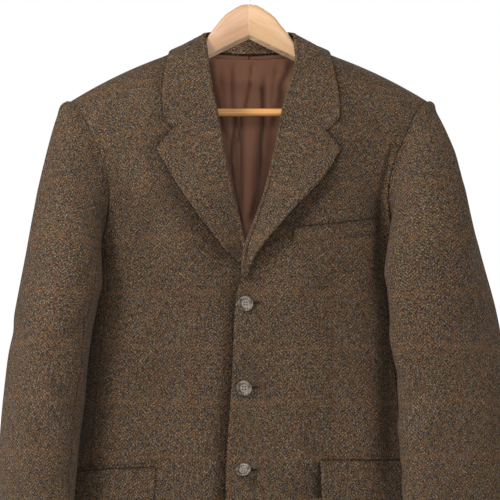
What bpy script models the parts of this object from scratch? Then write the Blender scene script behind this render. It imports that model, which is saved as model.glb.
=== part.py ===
"""A tweed jacket on a wooden hanger: one closed solid for each cut piece and hard part.

Metres, +Z up. The fronts face -Y and the wearer's left is +X. The origin is the underside
of the hook's crown, where a rail carries the jacket. The torso is worked out for one side,
in distances from the centre line, and mirrored: side is 1 on the wearer's left, -1 on the right.
"""

import math

import bmesh
import bpy
from mathutils import Vector

# ---- cloth ----
WALL = 0.0024  # tweed with its canvas
SATIN = 0.0010  # lining
LINING_GAP = 0.0012  # between a back and its lining
LINING_COLUMNS = 7  # of each back's columns
SEAM = 0.0003  # gap between two sewn pieces
LAY = 0.0007  # gap under a piece that lies on a panel
LEAF_LAY = 0.0013  # gap under a lapel or the collar's leaf
UP = Vector((0, 0, 1))

# ---- torso ----
HEM_Z = -0.893
NECK_X = 0.0785  # neck point of the shoulder seam
SHOULDER_X = 0.2305  # sleeve end of the shoulder seam
NECK_DIP = 0.0072  # the back neck seam below the neck points
POWER = 2.5  # roundness of a level section, 2 is an ellipse
NECK_REACH = 0.190  # height over which the front closes onto the shoulder seam
SHOULDER_REACH = 0.105
BACK_REACH = 0.150
TORSO = (
    # height, half_width, front, back
    (-0.893, 0.240, 0.080, 0.104),
    (-0.800, 0.233, 0.081, 0.100),
    (-0.700, 0.225, 0.082, 0.095),
    (-0.600, 0.216, 0.083, 0.090),
    (-0.520, 0.207, 0.085, 0.089),
    (-0.455, 0.199, 0.088, 0.093),
    (-0.395, 0.200, 0.090, 0.099),
    (-0.300, 0.217, 0.090, 0.104),
    (-0.210, 0.254, 0.087, 0.099),
    (-0.100, 0.284, 0.085, 0.095),
)
TURN_STEP = 0.002  # steps round and up the torso that show which way its cloth faces
RISE_STEP = 0.00002
FRONT_SEAM_SHARE = 0.92  # of the half width, where the front meets the side body
BACK_SEAM_SHARE = 0.86
UNDERARM_DIP = 0.030  # the armhole's lowest point below the side seams' tops
LAP_DROP = (
    # height, depth: how far the under front is set in below the other one
    (-0.893, 0.0036),
    (-0.500, 0.0036),
    (-0.455, 0.0044),
    (-0.420, 0.0076),
    (-0.362, 0.0076),
    (-0.335, 0.0050),
    (-0.290, 0.0015),
    (-0.240, 0.0),
    (-0.100, 0.0),
)
LAP_FULL_X = 0.024  # the drop is whole up to here
LAP_END_X = 0.090  # and none from here
CLOTH_FOLDS = (
    # side, face, x, bottom_z, top_z, half_width, depth
    (1, -1, 0.112, -0.700, -0.340, 0.030, -0.0030),
    (-1, -1, 0.122, -0.680, -0.360, 0.028, -0.0035),
    (1, -1, 0.158, -0.860, -0.480, 0.026, 0.0030),
    (-1, -1, 0.166, -0.840, -0.450, 0.024, 0.0030),
    (1, 1, 0.052, -0.900, -0.500, 0.030, 0.0050),
    (-1, 1, 0.062, -0.900, -0.470, 0.032, 0.0045),
    (1, 1, 0.118, -0.900, -0.420, 0.028, -0.0050),
    (-1, 1, 0.128, -0.900, -0.450, 0.030, -0.0055),
    (1, 1, 0.160, -0.880, -0.380, 0.020, 0.0040),
    (-1, 1, 0.105, -0.330, -0.190, 0.026, -0.0030),
    (1, 1, 0.098, -0.350, -0.200, 0.028, -0.0028),
)

# ---- fronts ----
FRONT_ROWS = (
    # edge_z, left_edge, right_edge, side_z, side_x (0 on the side seam)
    (-0.893, 0.0600, 0.0800, -0.893, 0),
    (-0.886, 0.0350, 0.0550, -0.886, 0),
    (-0.866, 0.0090, 0.0280, -0.866, 0),
    (-0.836, -0.0120, 0.0070, -0.836, 0),
    (-0.790, -0.0245, -0.0050, -0.790, 0),
    (-0.735, -0.0290, -0.0085, -0.735, 0),
    (-0.666, -0.0290, -0.0100, -0.666, 0),
    (-0.610, -0.0255, -0.0110, -0.610, 0),
    (-0.560, -0.0218, -0.0120, -0.560, 0),
    (-0.505, -0.0195, -0.0130, -0.505, 0),
    (-0.452, -0.0173, -0.0140, -0.452, 0),
    (-0.428, -0.0130, -0.0125, -0.425, 0),
    (-0.410, -0.0085, -0.0085, -0.400, 0),
    (-0.390, -0.0095, -0.0015, -0.384, 0),
    (-0.3676, -0.0026, 0.0045, -0.366, 0),
    (-0.341, 0.0077, 0.0115, -0.340, 0.1820),
    (-0.304, 0.0201, 0.0208, -0.312, 0.1800),
    (-0.2554, 0.0323, 0.0312, -0.285, 0.1833),
    (-0.228, 0.0376, 0.0358, -0.266, 0.1890),
    (-0.202, 0.0425, 0.0405, -0.248, 0.1965),
    (-0.181, 0.0486, 0.0455, -0.232, 0.2040),
    (-0.160, 0.0545, 0.0488, -0.2185, 0.2103),
    (-0.141, 0.0589, 0.0513, -0.2070, 0.2160),
    (-0.1320, 0.0640, 0.0590, -0.1990, 0.2222),
    (-0.1265, 0.0710, 0.0690, -0.1945, 0.2270),
    (-0.1250, 0.0785, 0.0785, -0.1930, 0.2305),
)
FRONT_COLUMNS = 12
BREAK_Z = -0.426  # the front's edge starts to tuck into the lapel's roll here
SHOULDER_BLEND_Z = -0.304  # from here up the rows bend to the shoulder seam
EDGE_TUCK = 0.0034  # the panel's edge lies this far inside the lapel's roll
TUCK_START = 0.014  # height over which the tuck grows above the break
TUCK_END = 0.016  # and over which it is gone again below the neck point
NECK_Z = -0.1250  # the front's neck point

# ---- backs ----
BACK_ROWS = (
    # centre_z, side_z, side_x (0 on the side seam)
    (-0.893, -0.893, 0),
    (-0.866, -0.866, 0),
    (-0.790, -0.790, 0),
    (-0.735, -0.735, 0),
    (-0.666, -0.666, 0),
    (-0.610, -0.610, 0),
    (-0.560, -0.560, 0),
    (-0.505, -0.505, 0),
    (-0.452, -0.452, 0),
    (-0.425, -0.425, 0),
    (-0.400, -0.400, 0),
    (-0.384, -0.384, 0),
    (-0.3676, -0.366, 0),
    (-0.335, -0.338, 0.1808),
    (-0.300, -0.308, 0.1858),
    (-0.264, -0.280, 0.1915),
    (-0.228, -0.254, 0.1985),
    (-0.1830, -0.230, 0.2070),
    (-0.1617, -0.2130, 0.2140),
    (-0.1464, -0.2015, 0.2205),
    (-0.1358, -0.1945, 0.2265),
    (-0.1320, -0.1930, 0.2305),
)
BACK_COLUMNS = 10
BACK_BLEND_Z = -0.300
SIDE_COLUMNS = 7

# ---- sleeves ----
SLEEVE = {
    1: (
        # height, centre_x, centre_y, half_minor, half_major, yaw
        (-0.812, 0.2700, -0.094, 0.043, 0.056, 0.90),
        (-0.700, 0.2660, -0.077, 0.049, 0.076, 1.02),
        (-0.600, 0.2625, -0.068, 0.050, 0.078, 1.05),
        (-0.520, 0.2560, -0.063, 0.050, 0.078, 1.03),
        (-0.470, 0.2485, -0.061, 0.051, 0.0775, 0.97),
        (-0.430, 0.2410, -0.061, 0.053, 0.076, 0.86),
    ),
    -1: (
        (-0.808, 0.2790, -0.090, 0.042, 0.056, 0.36),
        (-0.700, 0.2730, -0.072, 0.048, 0.065, 0.28),
        (-0.600, 0.2655, -0.061, 0.050, 0.070, 0.24),
        (-0.500, 0.2535, -0.056, 0.050, 0.074, 0.22),
        (-0.430, 0.2400, -0.054, 0.050, 0.076, 0.21),
    ),
}
CAP_STEPS = (0, 0.07, 0.16, 0.28, 0.42, 0.58, 0.78)  # rows of the sleeve above its first ring
ARM_STEPS = (0, 0.12, 0.26, 0.40, 0.54, 0.70, 0.86, 1)  # rows from the first ring to the cuff
AROUND_ARM = (
    # share of the armhole from its top down the front, angle round the sleeve from outside
    (0.0, 0.0),
    (0.20, 1.25),
    (0.396, 2.70),
    (0.51, 3.45),
    (0.625, 4.25),
    (0.80, 5.05),
    (1.0, 2 * math.pi),
)
FLARE_TOP_Z = -0.215  # the sleeve leaves the armhole along the shoulder above this
FLARE_TURN = 1.92  # and has turned this far away from the torso's cloth at the underarm
HEAD_TURN = 0.36  # the sleeve's head stands up this much at its top
SLEEVE_FOLDS = (
    # height, angle, half_height, half_angle, depth
    (-0.470, 2.6, 0.022, 0.55, -0.0035),
    (-0.540, 3.3, 0.026, 0.60, -0.0040),
    (-0.600, 1.9, 0.030, 0.50, -0.0030),
    (-0.640, 3.7, 0.022, 0.55, -0.0040),
    (-0.700, 5.0, 0.030, 0.55, 0.0025),
    (-0.740, 2.6, 0.024, 0.55, -0.0030),
)
FALL_STEP = 0.03  # height that shows which way the sleeve leads below its first ring
FOREARM_SEAM = 10  # column where the top sleeve ends in front
HINDARM_SEAM = 20  # column where it ends behind

# ---- collar and lapels ----
FOLD_WIDTH = 0.0064  # across the roll, from one face of the cloth to the other
FOLD_DROP = 0.0022  # from the top of the roll to its sides
FLAT_DROP = 0.0009  # the same on the leaf's side where the roll lies on the front
INSIDE_SET = 0.0008  # a lapel's inner edge goes this much further in than the collar's
INSIDE_RISE = 0.0005  # height of the collar's inner edge above the neck seam
INSIDE_DROP = -0.0020  # and of a lapel's inner edge above the front's edge
ROLL_HEIGHT = 0.0046  # of a lapel's roll above the front that it lies on
COLLAR = (
    # neck_x, fold_x, fold_y, fold_z, leaf_x, leaf_z, lean (0 stands up, 1 lies on the front)
    (0.000, 0.000, 0.0460, -0.1030, 0.0000, -0.1530, 0),
    (0.020, 0.019, 0.0445, -0.1030, 0.0290, -0.1520, 0),
    (0.040, 0.035, 0.0375, -0.1032, 0.0560, -0.1490, 0),
    (0.057, 0.047, 0.0270, -0.1036, 0.0780, -0.1440, 0),
    (0.069, 0.0545, 0.0140, -0.1042, 0.0930, -0.1375, 0.05),
)
COLLAR_FRONT = {
    1: (
        # fold_x, fold_y, fold_z, leaf_x, leaf_z, lean
        (0.0590, -0.0010, -0.1055, 0.1030, 0, 0.15),
        (0.0605, -0.0140, -0.1100, 0.1065, -0.1470, 0.40),
        (0.0610, -0.0265, -0.1210, 0.1100, -0.1610, 0.70),
        (0.0621, 0, -0.1410, 0.1135, -0.1760, 1),
        (0.0577, 0, -0.1600, 0.1155, -0.1930, 1),
    ),
    -1: (
        (0.0585, -0.0010, -0.1055, 0.1020, 0, 0.15),
        (0.0590, -0.0140, -0.1100, 0.1050, -0.1470, 0.40),
        (0.0570, -0.0265, -0.1210, 0.1080, -0.1610, 0.70),
        (0.0545, 0, -0.1410, 0.1100, -0.1760, 1),
        (0.0520, 0, -0.1600, 0.1105, -0.1920, 1),
    ),
}
GORGE = {
    # the seam between collar and lapel: its notch corner and the two points beside the notch
    1: {"corner": (0.0973, -0.2299), "collar_tip": (0.1160, -0.2140), "lapel_tip": (0.1178, -0.2530)},
    -1: {"corner": (0.0960, -0.2260), "collar_tip": (0.1088, -0.2120), "lapel_tip": (0.1184, -0.2530)},
}
GORGE_GAP = 0.0012  # between collar and lapel, whose rolls turn apart
FACING_TOP_Z = -0.141  # the collar's front faces as the cloth does below this height
GORGE_ROW = 5  # row from the top of FRONT_ROWS where the gorge meets the roll
LAPEL_EDGE = {
    1: (
        # x, z from the lapel's tip down to the break
        (0.1178, -0.2530),
        (0.0970, -0.2905),
        (0.0815, -0.3090),
        (0.0552, -0.3323),
        (0.0351, -0.3541),
        (0.0179, -0.3711),
        (0.0055, -0.3881),
        (0.0005, -0.4010),
    ),
    -1: (
        (0.1184, -0.2530),
        (0.0981, -0.2873),
        (0.0826, -0.3106),
        (0.0669, -0.3339),
        (0.0515, -0.3556),
        (0.0344, -0.3774),
        (0.0205, -0.3912),
        (0.0060, -0.4040),
    ),
}
LAPEL_END_Z = -0.4035  # the roll line's lowest point that the lapel still covers
LAPEL_ROWS = 13
RIDGE_LIFT = 0.0036  # the collar's leaf stands this much higher over the shoulder line
RIDGE_WIDTH = 0.035  # before and behind the shoulder line
LEAF_STEPS = (0.18, 0.40, 0.62, 0.81, 1)  # across a leaf from its roll to its edge
GORGE_STEPS = (0.22, 0.48, 0.74, 1)  # along the gorge from the roll to the notch's corner
LAPEL_FLARE = 0.0040  # the lapel's edge stands off the chest by this along its lower half

# ---- pockets ----
WELT_LINE = (0.0563, -0.3541, 0.1677, -0.3407)  # top edge, from the front end
WELT_DEPTH = 0.022
POCKETS = {
    # front end and slant of the jets, the flap's length on the cloth, its depth
    1: {"x": 0.0915, "z": -0.6470, "slant": 0.012, "length": 0.160, "depth": 0.060},
    -1: {"x": 0.1195, "z": -0.6560, "slant": 0.070, "length": 0.160, "depth": 0.060},
}
POCKET_STEP = 0.002  # a pocket's length is measured in these steps
POCKET_LIMIT = 0.985  # of the half width, where a pocket ends at the latest
JET_DEPTH = 0.0055
FLAP_WALL = 0.0026

# ---- buttons ----
BUTTONS = (
    # x, z, tilt
    (-0.0044, -0.4520, 0.02),
    (-0.0058, -0.5602, -0.02),
    (-0.0067, -0.6660, 0.05),
)
BUTTON_RADIUS = 0.0100
BUTTON_PROFILE = (
    # radius share, height
    (0.000, 0.0022),
    (0.560, 0.0023),
    (0.700, 0.0029),
    (0.860, 0.0036),
    (0.960, 0.0031),
    (1.000, 0.0021),
    (0.930, 0.0008),
    (0.600, 0.0),
)
BUTTON_SIDES = 20
BUTTON_GAP = 0.0006  # under a button, where its thread shank holds it

# ---- hanger ----
WOOD_HALF = 0.007
WOOD_CROWN = 0.005  # how far the rounded top edges reach in and down
WOOD_CHAMFER = 0.003
WOOD_REST = 0.0007  # gap between the wood and the cloth that hangs on it
HANGER = (
    # x, top_z (0 where it follows the shoulder line), bottom_z
    (0.0000, -0.0680, -0.1127),
    (0.0100, -0.0692, -0.1176),
    (0.0200, -0.0746, -0.1225),
    (0.0310, -0.0824, -0.1279),
    (0.0420, -0.0955, -0.1333),
    (0.0506, -0.1064, -0.1375),
    (0.0600, -0.1185, -0.1420),
    (0.0680, 0, -0.1460),
    (0.0800, 0, -0.1515),
    (0.1000, 0, -0.1590),
    (0.1250, 0, -0.1680),
    (0.1500, 0, -0.1790),
    (0.1690, 0, -0.1885),
    (0.1697, 0, -0.2135),
    (0.1780, 0, -0.2165),
    (0.1860, 0, -0.2160),
    (0.1940, 0, -0.2110),
    (0.1995, -0.1800, -0.2010),
)
BAR_Z = -0.2069
BAR_RADIUS = 0.005
BAR_HALF = 0.1687
HOOK_WIRE = 0.0019  # radius
HOOK_LOOP = 0.019  # radius of the space inside the hook
HOOK_SHANK = 1.2  # loop radii from the loop's centre down to the straight shank
HOOK_START = math.radians(-48)  # where the loop begins, from +X
HOOK_SWEEP = math.radians(248)
HOOK_STEPS = 14
HOOK_BEND = 0.016  # pull of the bend between the shank and the loop

# ---- finishes: colour, roughness, metallic ----
FINISHES = {
    "tweed": ((0.075, 0.050, 0.026), 0.95, 0.0),
    "satin": ((0.105, 0.042, 0.022), 0.45, 0.0),
    "horn": ((0.160, 0.125, 0.090), 0.35, 0.0),
    "wood": ((0.560, 0.300, 0.110), 0.45, 0.0),
    "chrome": ((0.700, 0.700, 0.700), 0.20, 1.0),
}


# ---- arithmetic ----


def mix(low, high, share):
    return low * (1 - share) + high * share


def ease(share):
    share = max(0.0, min(1.0, share))
    return share * share * (3 - 2 * share)


def curve_between(low, high, low_pull, high_pull, share):
    """A cubic from low to high that leaves and arrives with the two pulls."""
    rest = 1 - share
    ends = low * rest * rest * (1 + 2 * share) + high * share * share * (3 - 2 * share)
    return ends + low_pull * share * rest * rest - high_pull * share * share * rest


def read_row(table, at):
    """A table's other columns at one value of its first, on a smooth curve through its rows."""
    rows = sorted(table)
    last = len(rows) - 1
    here = max(0, min(last - 1, sum(row[0] <= at for row in rows) - 1))
    step = rows[here + 1][0] - rows[here][0]
    share = max(0.0, min(1.0, (at - rows[here][0]) / step))
    values = []
    for column in range(1, len(rows[0])):
        pulls = []
        for index in (here, here + 1):
            before = rows[max(index - 1, 0)]
            after = rows[min(index + 1, last)]
            pulls.append(step * (after[column] - before[column]) / (after[0] - before[0]))
        ends = rows[here][column], rows[here + 1][column]
        values.append(curve_between(*ends, *pulls, share))
    return values


def along(points, share):
    """The point at a share of the length of a run of points."""
    points = [Vector(point) for point in points]
    lengths = [(after - before).length for before, after in zip(points, points[1:])]
    left = share * sum(lengths)
    for before, after, length in zip(points, points[1:], lengths):
        if left <= length:
            return before.lerp(after, left / length)
        left -= length
    return points[-1]


# ---- the torso's surface ----


def ridge(x):
    """Height of the shoulder line."""
    return -0.1094 - 0.11 * abs(x) - 1.1 * x * x


def bump(distance, half_width):
    return math.exp(-((distance / half_width) ** 2))


def fold_depth(side, face, x, z):
    depth = 0.0
    for fold_side, fold_face, fold_x, bottom, top, half_width, height in CLOTH_FOLDS:
        if (fold_side, fold_face) == (side, face):
            fade = ease((z - bottom) / 0.10 + 0.35) * ease((top - z) / 0.10)
            depth += height * fade * bump(x - fold_x, half_width)
    return depth


def lap_drop(side, x, z):
    if side == 1:
        return 0.0
    return read_row(LAP_DROP, z)[0] * ease((LAP_END_X - x) / (LAP_END_X - LAP_FULL_X))


def turn_at(x, z, face=-1):
    """How far round the section x lies: 0 at the centre front, pi / 2 at the side."""
    share = min(1.0, abs(x) / read_row(TORSO, z)[0])
    turn = math.asin(share ** (POWER / 2))
    return math.copysign(turn, x) if face < 0 else math.pi - turn


def torso(side, turn, z):
    half_width, front, back = read_row(TORSO, z)
    x = math.copysign(half_width * abs(math.sin(turn)) ** (2 / POWER), math.sin(turn))
    out = abs(math.cos(turn)) ** (2 / POWER)
    face = 1 if turn > math.pi / 2 else -1
    reach = mix(NECK_REACH, SHOULDER_REACH, min(1.0, abs(x) / SHOULDER_X))
    if face == 1:
        reach = BACK_REACH
    rise = 1 - min(1.0, max(0.0, ridge(x) - z) / reach)
    closing = math.sqrt(1 - rise * rise)
    depth = (back if face == 1 else front) * out + fold_depth(side, face, x, z)
    if face == -1:
        depth -= lap_drop(side, x, z)
    return Vector((side * x, face * depth * closing, z))


def cloth(side, turn, z):
    """A point of the torso's outer face with the direction that faces out there."""
    point = torso(side, turn, z)
    around = torso(side, turn + TURN_STEP, z) - torso(side, turn - TURN_STEP, z)
    rise = point - torso(side, turn, z - RISE_STEP)
    return point, (around.cross(rise) * side).normalized()


def front_cloth(side, x, z):
    return cloth(side, turn_at(x, z), z)


def on_front(side, x, z, lift):
    point, out = front_cloth(side, x, z)
    return point + out * lift


def lifted(point, side, lift):
    """Moves a point out where it lies less than lift above the torso."""
    for _ in range(2):
        x = side * point.x
        above = point.z - ridge(x)
        if above >= 0:
            near = point.y * point.y / (2 * BACK_REACH)
            if above + near < lift:
                point = point + UP * (lift - above - near)
            continue
        face = 1 if point.y > 0 else -1
        base, out = cloth(side, turn_at(x, point.z, face), point.z)
        gap = (point - base).dot(out)
        if gap < lift:
            point = point + out * (lift - gap)
    return point


# ---- solids ----


def material(name):
    colour, roughness, metallic = FINISHES[name]
    made = bpy.data.materials.get(name)
    if made is None:
        made = bpy.data.materials.new(name)
        made.use_nodes = True
        shader = made.node_tree.nodes["Principled BSDF"]
        shader.inputs["Base Color"].default_value = (*colour, 1)
        shader.inputs["Roughness"].default_value = roughness
        shader.inputs["Metallic"].default_value = metallic
        made.diffuse_color = (*colour, 1)
    return made


def add_object(name, mesh, finish, holder):
    mesh.materials.append(material(finish))
    mesh.shade_smooth()
    mesh.set_sharp_from_angle(angle=math.radians(42))
    made = bpy.data.objects.new(name, mesh)
    bpy.context.collection.objects.link(made)
    made.parent = holder
    return made


def trim(grid, edges, gap):
    """Draws the named edges in by half a gap: rows b and t, columns l and r."""
    points = [[point.copy() for point, out in row] for row in grid]
    moves = []
    for edge in edges:
        for row in range(len(grid)):
            for column in range(len(grid[0])):
                beside = {
                    "b": (row == 0, row + 1, column),
                    "t": (row == len(grid) - 1, row - 1, column),
                    "l": (column == 0, row, column + 1),
                    "r": (column == len(grid[0]) - 1, row, column - 1),
                }[edge]
                if beside[0]:
                    way = grid[beside[1]][beside[2]][0] - grid[row][column][0]
                    moves.append((row, column, way.normalized() * gap / 2))
    for row, column, move in moves:
        points[row][column] += move
    return [[(point, out) for point, (_, out) in zip(*rows)] for rows in zip(points, grid)]


def wall(name, grid, thickness, finish, holder, edges="btlr", gap=SEAM):
    """A closed wall: the grid's points are its outer face, moved in by the thickness inside."""
    grid = trim(grid, edges, gap)
    shape = bmesh.new()
    outer = [[shape.verts.new(point) for point, out in row] for row in grid]
    inner = [[shape.verts.new(point - out * thickness) for point, out in row] for row in grid]
    rows = len(grid)
    columns = len(grid[0])
    for row in range(rows - 1):
        for column in range(columns - 1):
            for face, turned in ((outer, False), (inner, True)):
                corners = [face[row][column], face[row][column + 1]]
                corners += [face[row + 1][column + 1], face[row + 1][column]]
                shape.faces.new(corners[::-1] if turned else corners)
    rim = [(0, column) for column in range(columns)]
    rim += [(row, columns - 1) for row in range(1, rows)]
    rim += [(rows - 1, column) for column in range(columns - 2, -1, -1)]
    rim += [(row, 0) for row in range(rows - 2, 0, -1)]
    for (row, column), (next_row, next_column) in zip(rim, rim[1:] + rim[:1]):
        corners = [outer[next_row][next_column], outer[row][column]]
        shape.faces.new(corners + [inner[row][column], inner[next_row][next_column]])
    bmesh.ops.recalc_face_normals(shape, faces=shape.faces)
    mesh = bpy.data.meshes.new(name)
    shape.to_mesh(mesh)
    shape.free()
    return add_object(name, mesh, finish, holder)


def with_normals(points, facing):
    """A grid of points with the direction that each faces, turned to the side of facing."""
    rows = len(points)
    columns = len(points[0])
    grid = []
    for row in range(rows):
        line = []
        for column in range(columns):
            across = points[row][min(column + 1, columns - 1)] - points[row][max(column - 1, 0)]
            up = points[min(row + 1, rows - 1)][column] - points[max(row - 1, 0)][column]
            line.append((points[row][column], across.cross(up).normalized() * facing))
        grid.append(line)
    return grid


# ---- torso panels ----


def bend_rows(side, low_end, high_end, share, top_line, blend):
    """A torso point between two ends of a row, which follows the top line as blend grows."""
    turn = mix(low_end[0], high_end[0], share)
    flat_z = mix(low_end[1], high_end[1], share)
    drop = mix(low_end[2], high_end[2], share)
    z = flat_z
    for _ in range(8):
        x = read_row(TORSO, z)[0] * abs(math.sin(turn)) ** (2 / POWER)
        z = mix(flat_z, top_line(x) - drop, blend)
    return cloth(side, turn, z)


def front_edge(side, row):
    """Where a row of the front starts: on its edge, or tucked in along the roll line."""
    edge_z, left, right, _, _ = row
    x = left if side == 1 else right
    tuck = ease((edge_z - BREAK_Z) / TUCK_START) * ease((NECK_Z - edge_z) / TUCK_END)
    return x + EDGE_TUCK * tuck, edge_z


def seam_x(share, z):
    return share * read_row(TORSO, z)[0]


def front_side_end(row):
    _, _, _, side_z, side_x = row
    return (side_x or seam_x(FRONT_SEAM_SHARE, side_z)), side_z


def back_side_end(row):
    _, side_z, side_x = row
    return (side_x or seam_x(BACK_SEAM_SHARE, side_z)), side_z


def row_end(x, z, face, top_line, is_top):
    drop = 0.0 if is_top else max(0.0, top_line(x) - z)
    if is_top:
        z = top_line(x)
    return turn_at(x, z, face), z, drop


def front_grid(side, rows=FRONT_ROWS, columns=FRONT_COLUMNS):
    grid = []
    for row in rows:
        is_top = row is rows[-1]
        start = row_end(*front_edge(side, row), -1, ridge, is_top)
        end = row_end(*front_side_end(row), -1, ridge, is_top)
        blend = ease((row[0] - SHOULDER_BLEND_Z) / (rows[-1][0] - SHOULDER_BLEND_Z))
        shares = [column / (columns - 1) for column in range(columns)]
        grid.append([bend_rows(side, start, end, share, ridge, blend) for share in shares])
    return grid


def neck_line(x):
    """The top of the back: the neck seam, then the shoulder line."""
    if abs(x) >= NECK_X:
        return ridge(x)
    return ridge(NECK_X) - NECK_DIP * (1 - (x / NECK_X) ** 2)


def back_grid(side, rows=BACK_ROWS, columns=BACK_COLUMNS):
    grid = []
    for row in rows:
        is_top = row is rows[-1]
        start = row_end(0.0, row[0], 1, neck_line, is_top)
        end = row_end(*back_side_end(row), 1, neck_line, is_top)
        blend = ease((row[0] - BACK_BLEND_Z) / (rows[-1][0] - BACK_BLEND_Z))
        shares = [column / (columns - 1) for column in range(columns)]
        grid.append([bend_rows(side, start, end, share, neck_line, blend) for share in shares])
    return grid


def side_top(share):
    top = max(side_z for _, _, _, side_z, side_x in FRONT_ROWS if side_x == 0)
    return top - UNDERARM_DIP * math.sin(math.pi * share)


def side_point(side, share, z, seam_z):
    """A point of the side body: share is 0 at the front seam and 1 at the back seam."""
    front_turn = turn_at(seam_x(FRONT_SEAM_SHARE, seam_z), seam_z)
    back_turn = turn_at(seam_x(BACK_SEAM_SHARE, seam_z), seam_z, 1)
    return cloth(side, mix(front_turn, back_turn, share), z)


def side_grid(side, columns=SIDE_COLUMNS):
    grid = []
    seam_top = side_top(0)
    heights = [row[3] for row in FRONT_ROWS if row[4] == 0]
    for seam_z in heights:
        line = []
        for column in range(columns):
            share = column / (columns - 1)
            z = HEM_Z + (seam_z - HEM_Z) * (side_top(share) - HEM_Z) / (seam_top - HEM_Z)
            line.append(side_point(side, share, z, seam_z))
        grid.append(line)
    return grid


# ---- sleeves ----


def armhole(side):
    """The armhole's points from the shoulder down the front and up the back."""
    fronts = [grid_row[-1] for grid_row in front_grid(side)]
    backs = [grid_row[-1] for grid_row in back_grid(side)]
    front_count = sum(row[4] != 0 for row in FRONT_ROWS) + 1
    back_count = sum(row[2] != 0 for row in BACK_ROWS)
    under = side_grid(side)[-1][1:]
    return fronts[::-1][:front_count] + under + backs[-back_count:-1]


def sleeve_ring(side, z, angle):
    centre_x, centre_y, minor, major, yaw = read_row(SLEEVE[side], z)
    swell = 0.0
    for fold_z, fold_angle, half_height, half_angle, depth in SLEEVE_FOLDS:
        swell += depth * bump(z - fold_z, half_height) * bump(angle - fold_angle, half_angle)
    outward = Vector((math.cos(yaw), -math.sin(yaw), 0))
    forward = Vector((-math.sin(yaw), -math.cos(yaw), 0))
    point = Vector((centre_x, centre_y, z)) + outward * (minor + swell) * math.cos(angle)
    point += forward * (major + swell) * math.sin(angle)
    return Vector((side * point.x, point.y, z))


def sleeve_points(side):
    loop = armhole(side)
    count = len(loop)
    spans = [(loop[(i + 1) % count][0] - loop[i][0]).length for i in range(count)]
    shares = [sum(spans[:i]) / sum(spans) for i in range(count)]
    top_z = SLEEVE[side][-1][0]
    cuff_z = SLEEVE[side][0][0]
    columns = []
    starts = []
    for index, (start, out) in enumerate(loop):
        angle = read_row(AROUND_ARM, shares[index])[0]
        ring = sleeve_ring(side, top_z, angle)
        run = loop[(index + 1) % count][0] - loop[index - 1][0]
        over = out.cross(run).normalized() * side
        depth = ease((FLARE_TOP_Z - start.z) / (FLARE_TOP_Z - side_top(0.5)))
        flare = mix(HEAD_TURN, FLARE_TURN, depth)
        leave = over * math.cos(flare) + out * math.sin(flare)
        starts.append(out * math.cos(flare) - over * math.sin(flare))
        fall = (sleeve_ring(side, top_z - FALL_STEP, angle) - ring).normalized()
        length = (ring - start).length
        pulls = leave * length * mix(0.18, 0.55, depth), fall * length * mix(1.35, 0.85, depth)
        column = [curve_between(start, ring, *pulls, share) for share in CAP_STEPS]
        heights = [mix(top_z, cuff_z, share) for share in ARM_STEPS]
        columns.append(column + [sleeve_ring(side, z, angle) for z in heights])
    return [list(row) for row in zip(*columns)], starts


def sleeve_grid(side):
    """The whole sleeve with normals worked out round its closed rings."""
    points, starts = sleeve_points(side)
    wrapped = [row[-1:] + row + row[:1] for row in points]
    grid = [row[1:-1] for row in with_normals(wrapped, side)]
    grid[0] = list(zip(points[0], starts))
    return grid


def add_sleeve(side, name, holder):
    grid = sleeve_grid(side)
    count = len(grid[0])
    top = list(range(HINDARM_SEAM, count)) + list(range(FOREARM_SEAM + 1))
    under = list(range(FOREARM_SEAM, HINDARM_SEAM + 1))
    for piece, chosen in (("top", top), ("under", under)):
        part = [[row[index] for index in chosen] for row in grid]
        wall(f"sleeve_{piece}_{name}", part, WALL, "tweed", holder, "blr")


# ---- collar and lapels ----


def roll_section(edge, fold, way, up, lean):
    """Points from inside the neck round the fold: way leads off to the leaf, up to the fold."""
    inside = edge - way * (WALL + INSIDE_SET * lean) + up * mix(INSIDE_RISE, INSIDE_DROP, lean)
    fold_in = fold - way * FOLD_WIDTH / 2 - up * FOLD_DROP
    fold_out = fold + way * FOLD_WIDTH / 2 - up * mix(FOLD_DROP, FLAT_DROP, lean)
    return [inside, fold_in, fold, fold_out]


def leaf_points(side, start, end, steps, swell=0.0, over_ridge=0.0):
    """Points from the roll to the leaf's edge, kept clear of the torso."""
    points = []
    for share in steps:
        point = start.lerp(end, share)
        lift = WALL + LEAF_LAY + swell * share * share + over_ridge * bump(point.y, RIDGE_WIDTH)
        points.append(lifted(point, side, lift))
    return points


def flat_roll(side, x, z, edge_x, edge_z, steps, swell=0.0):
    """A section that lies on the front, from the roll line's point to the leaf's edge."""
    base, out = front_cloth(side, x, z)
    ahead = front_cloth(side, mix(x, edge_x, 0.2), mix(z, edge_z, 0.2))[0]
    way = ahead - base
    way = (way - out * way.dot(out)).normalized()
    fold = base + way * FOLD_WIDTH / 2 + out * ROLL_HEIGHT
    points = roll_section(base + way * EDGE_TUCK, fold, way, out, 1)
    end = on_front(side, edge_x, edge_z, WALL + LEAF_LAY + swell)
    return points + leaf_points(side, points[-1], end, steps, swell)


def gorge_section(side):
    """The seam where collar and lapel meet, with the way that each of its points faces."""
    column = 1 if side == 1 else 2
    here = len(FRONT_ROWS) - 1 - GORGE_ROW
    below, middle, above = [(row[column], row[0]) for row in FRONT_ROWS[here - 1 : here + 2]]
    points = flat_roll(side, *middle, *GORGE[side]["corner"], GORGE_STEPS)
    out = front_cloth(side, *middle)[1]
    path = front_cloth(side, *above)[0] - front_cloth(side, *below)[0]
    last = len(points) - 1
    facing = []
    for index in range(len(points)):
        tangent = points[min(index + 1, last)] - points[max(index - 1, 0)]
        facing.append(tangent.cross(path).normalized())
    turned = 1 if facing[2].dot(out) > 0 else -1
    return points, [way * turned for way in facing]


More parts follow.
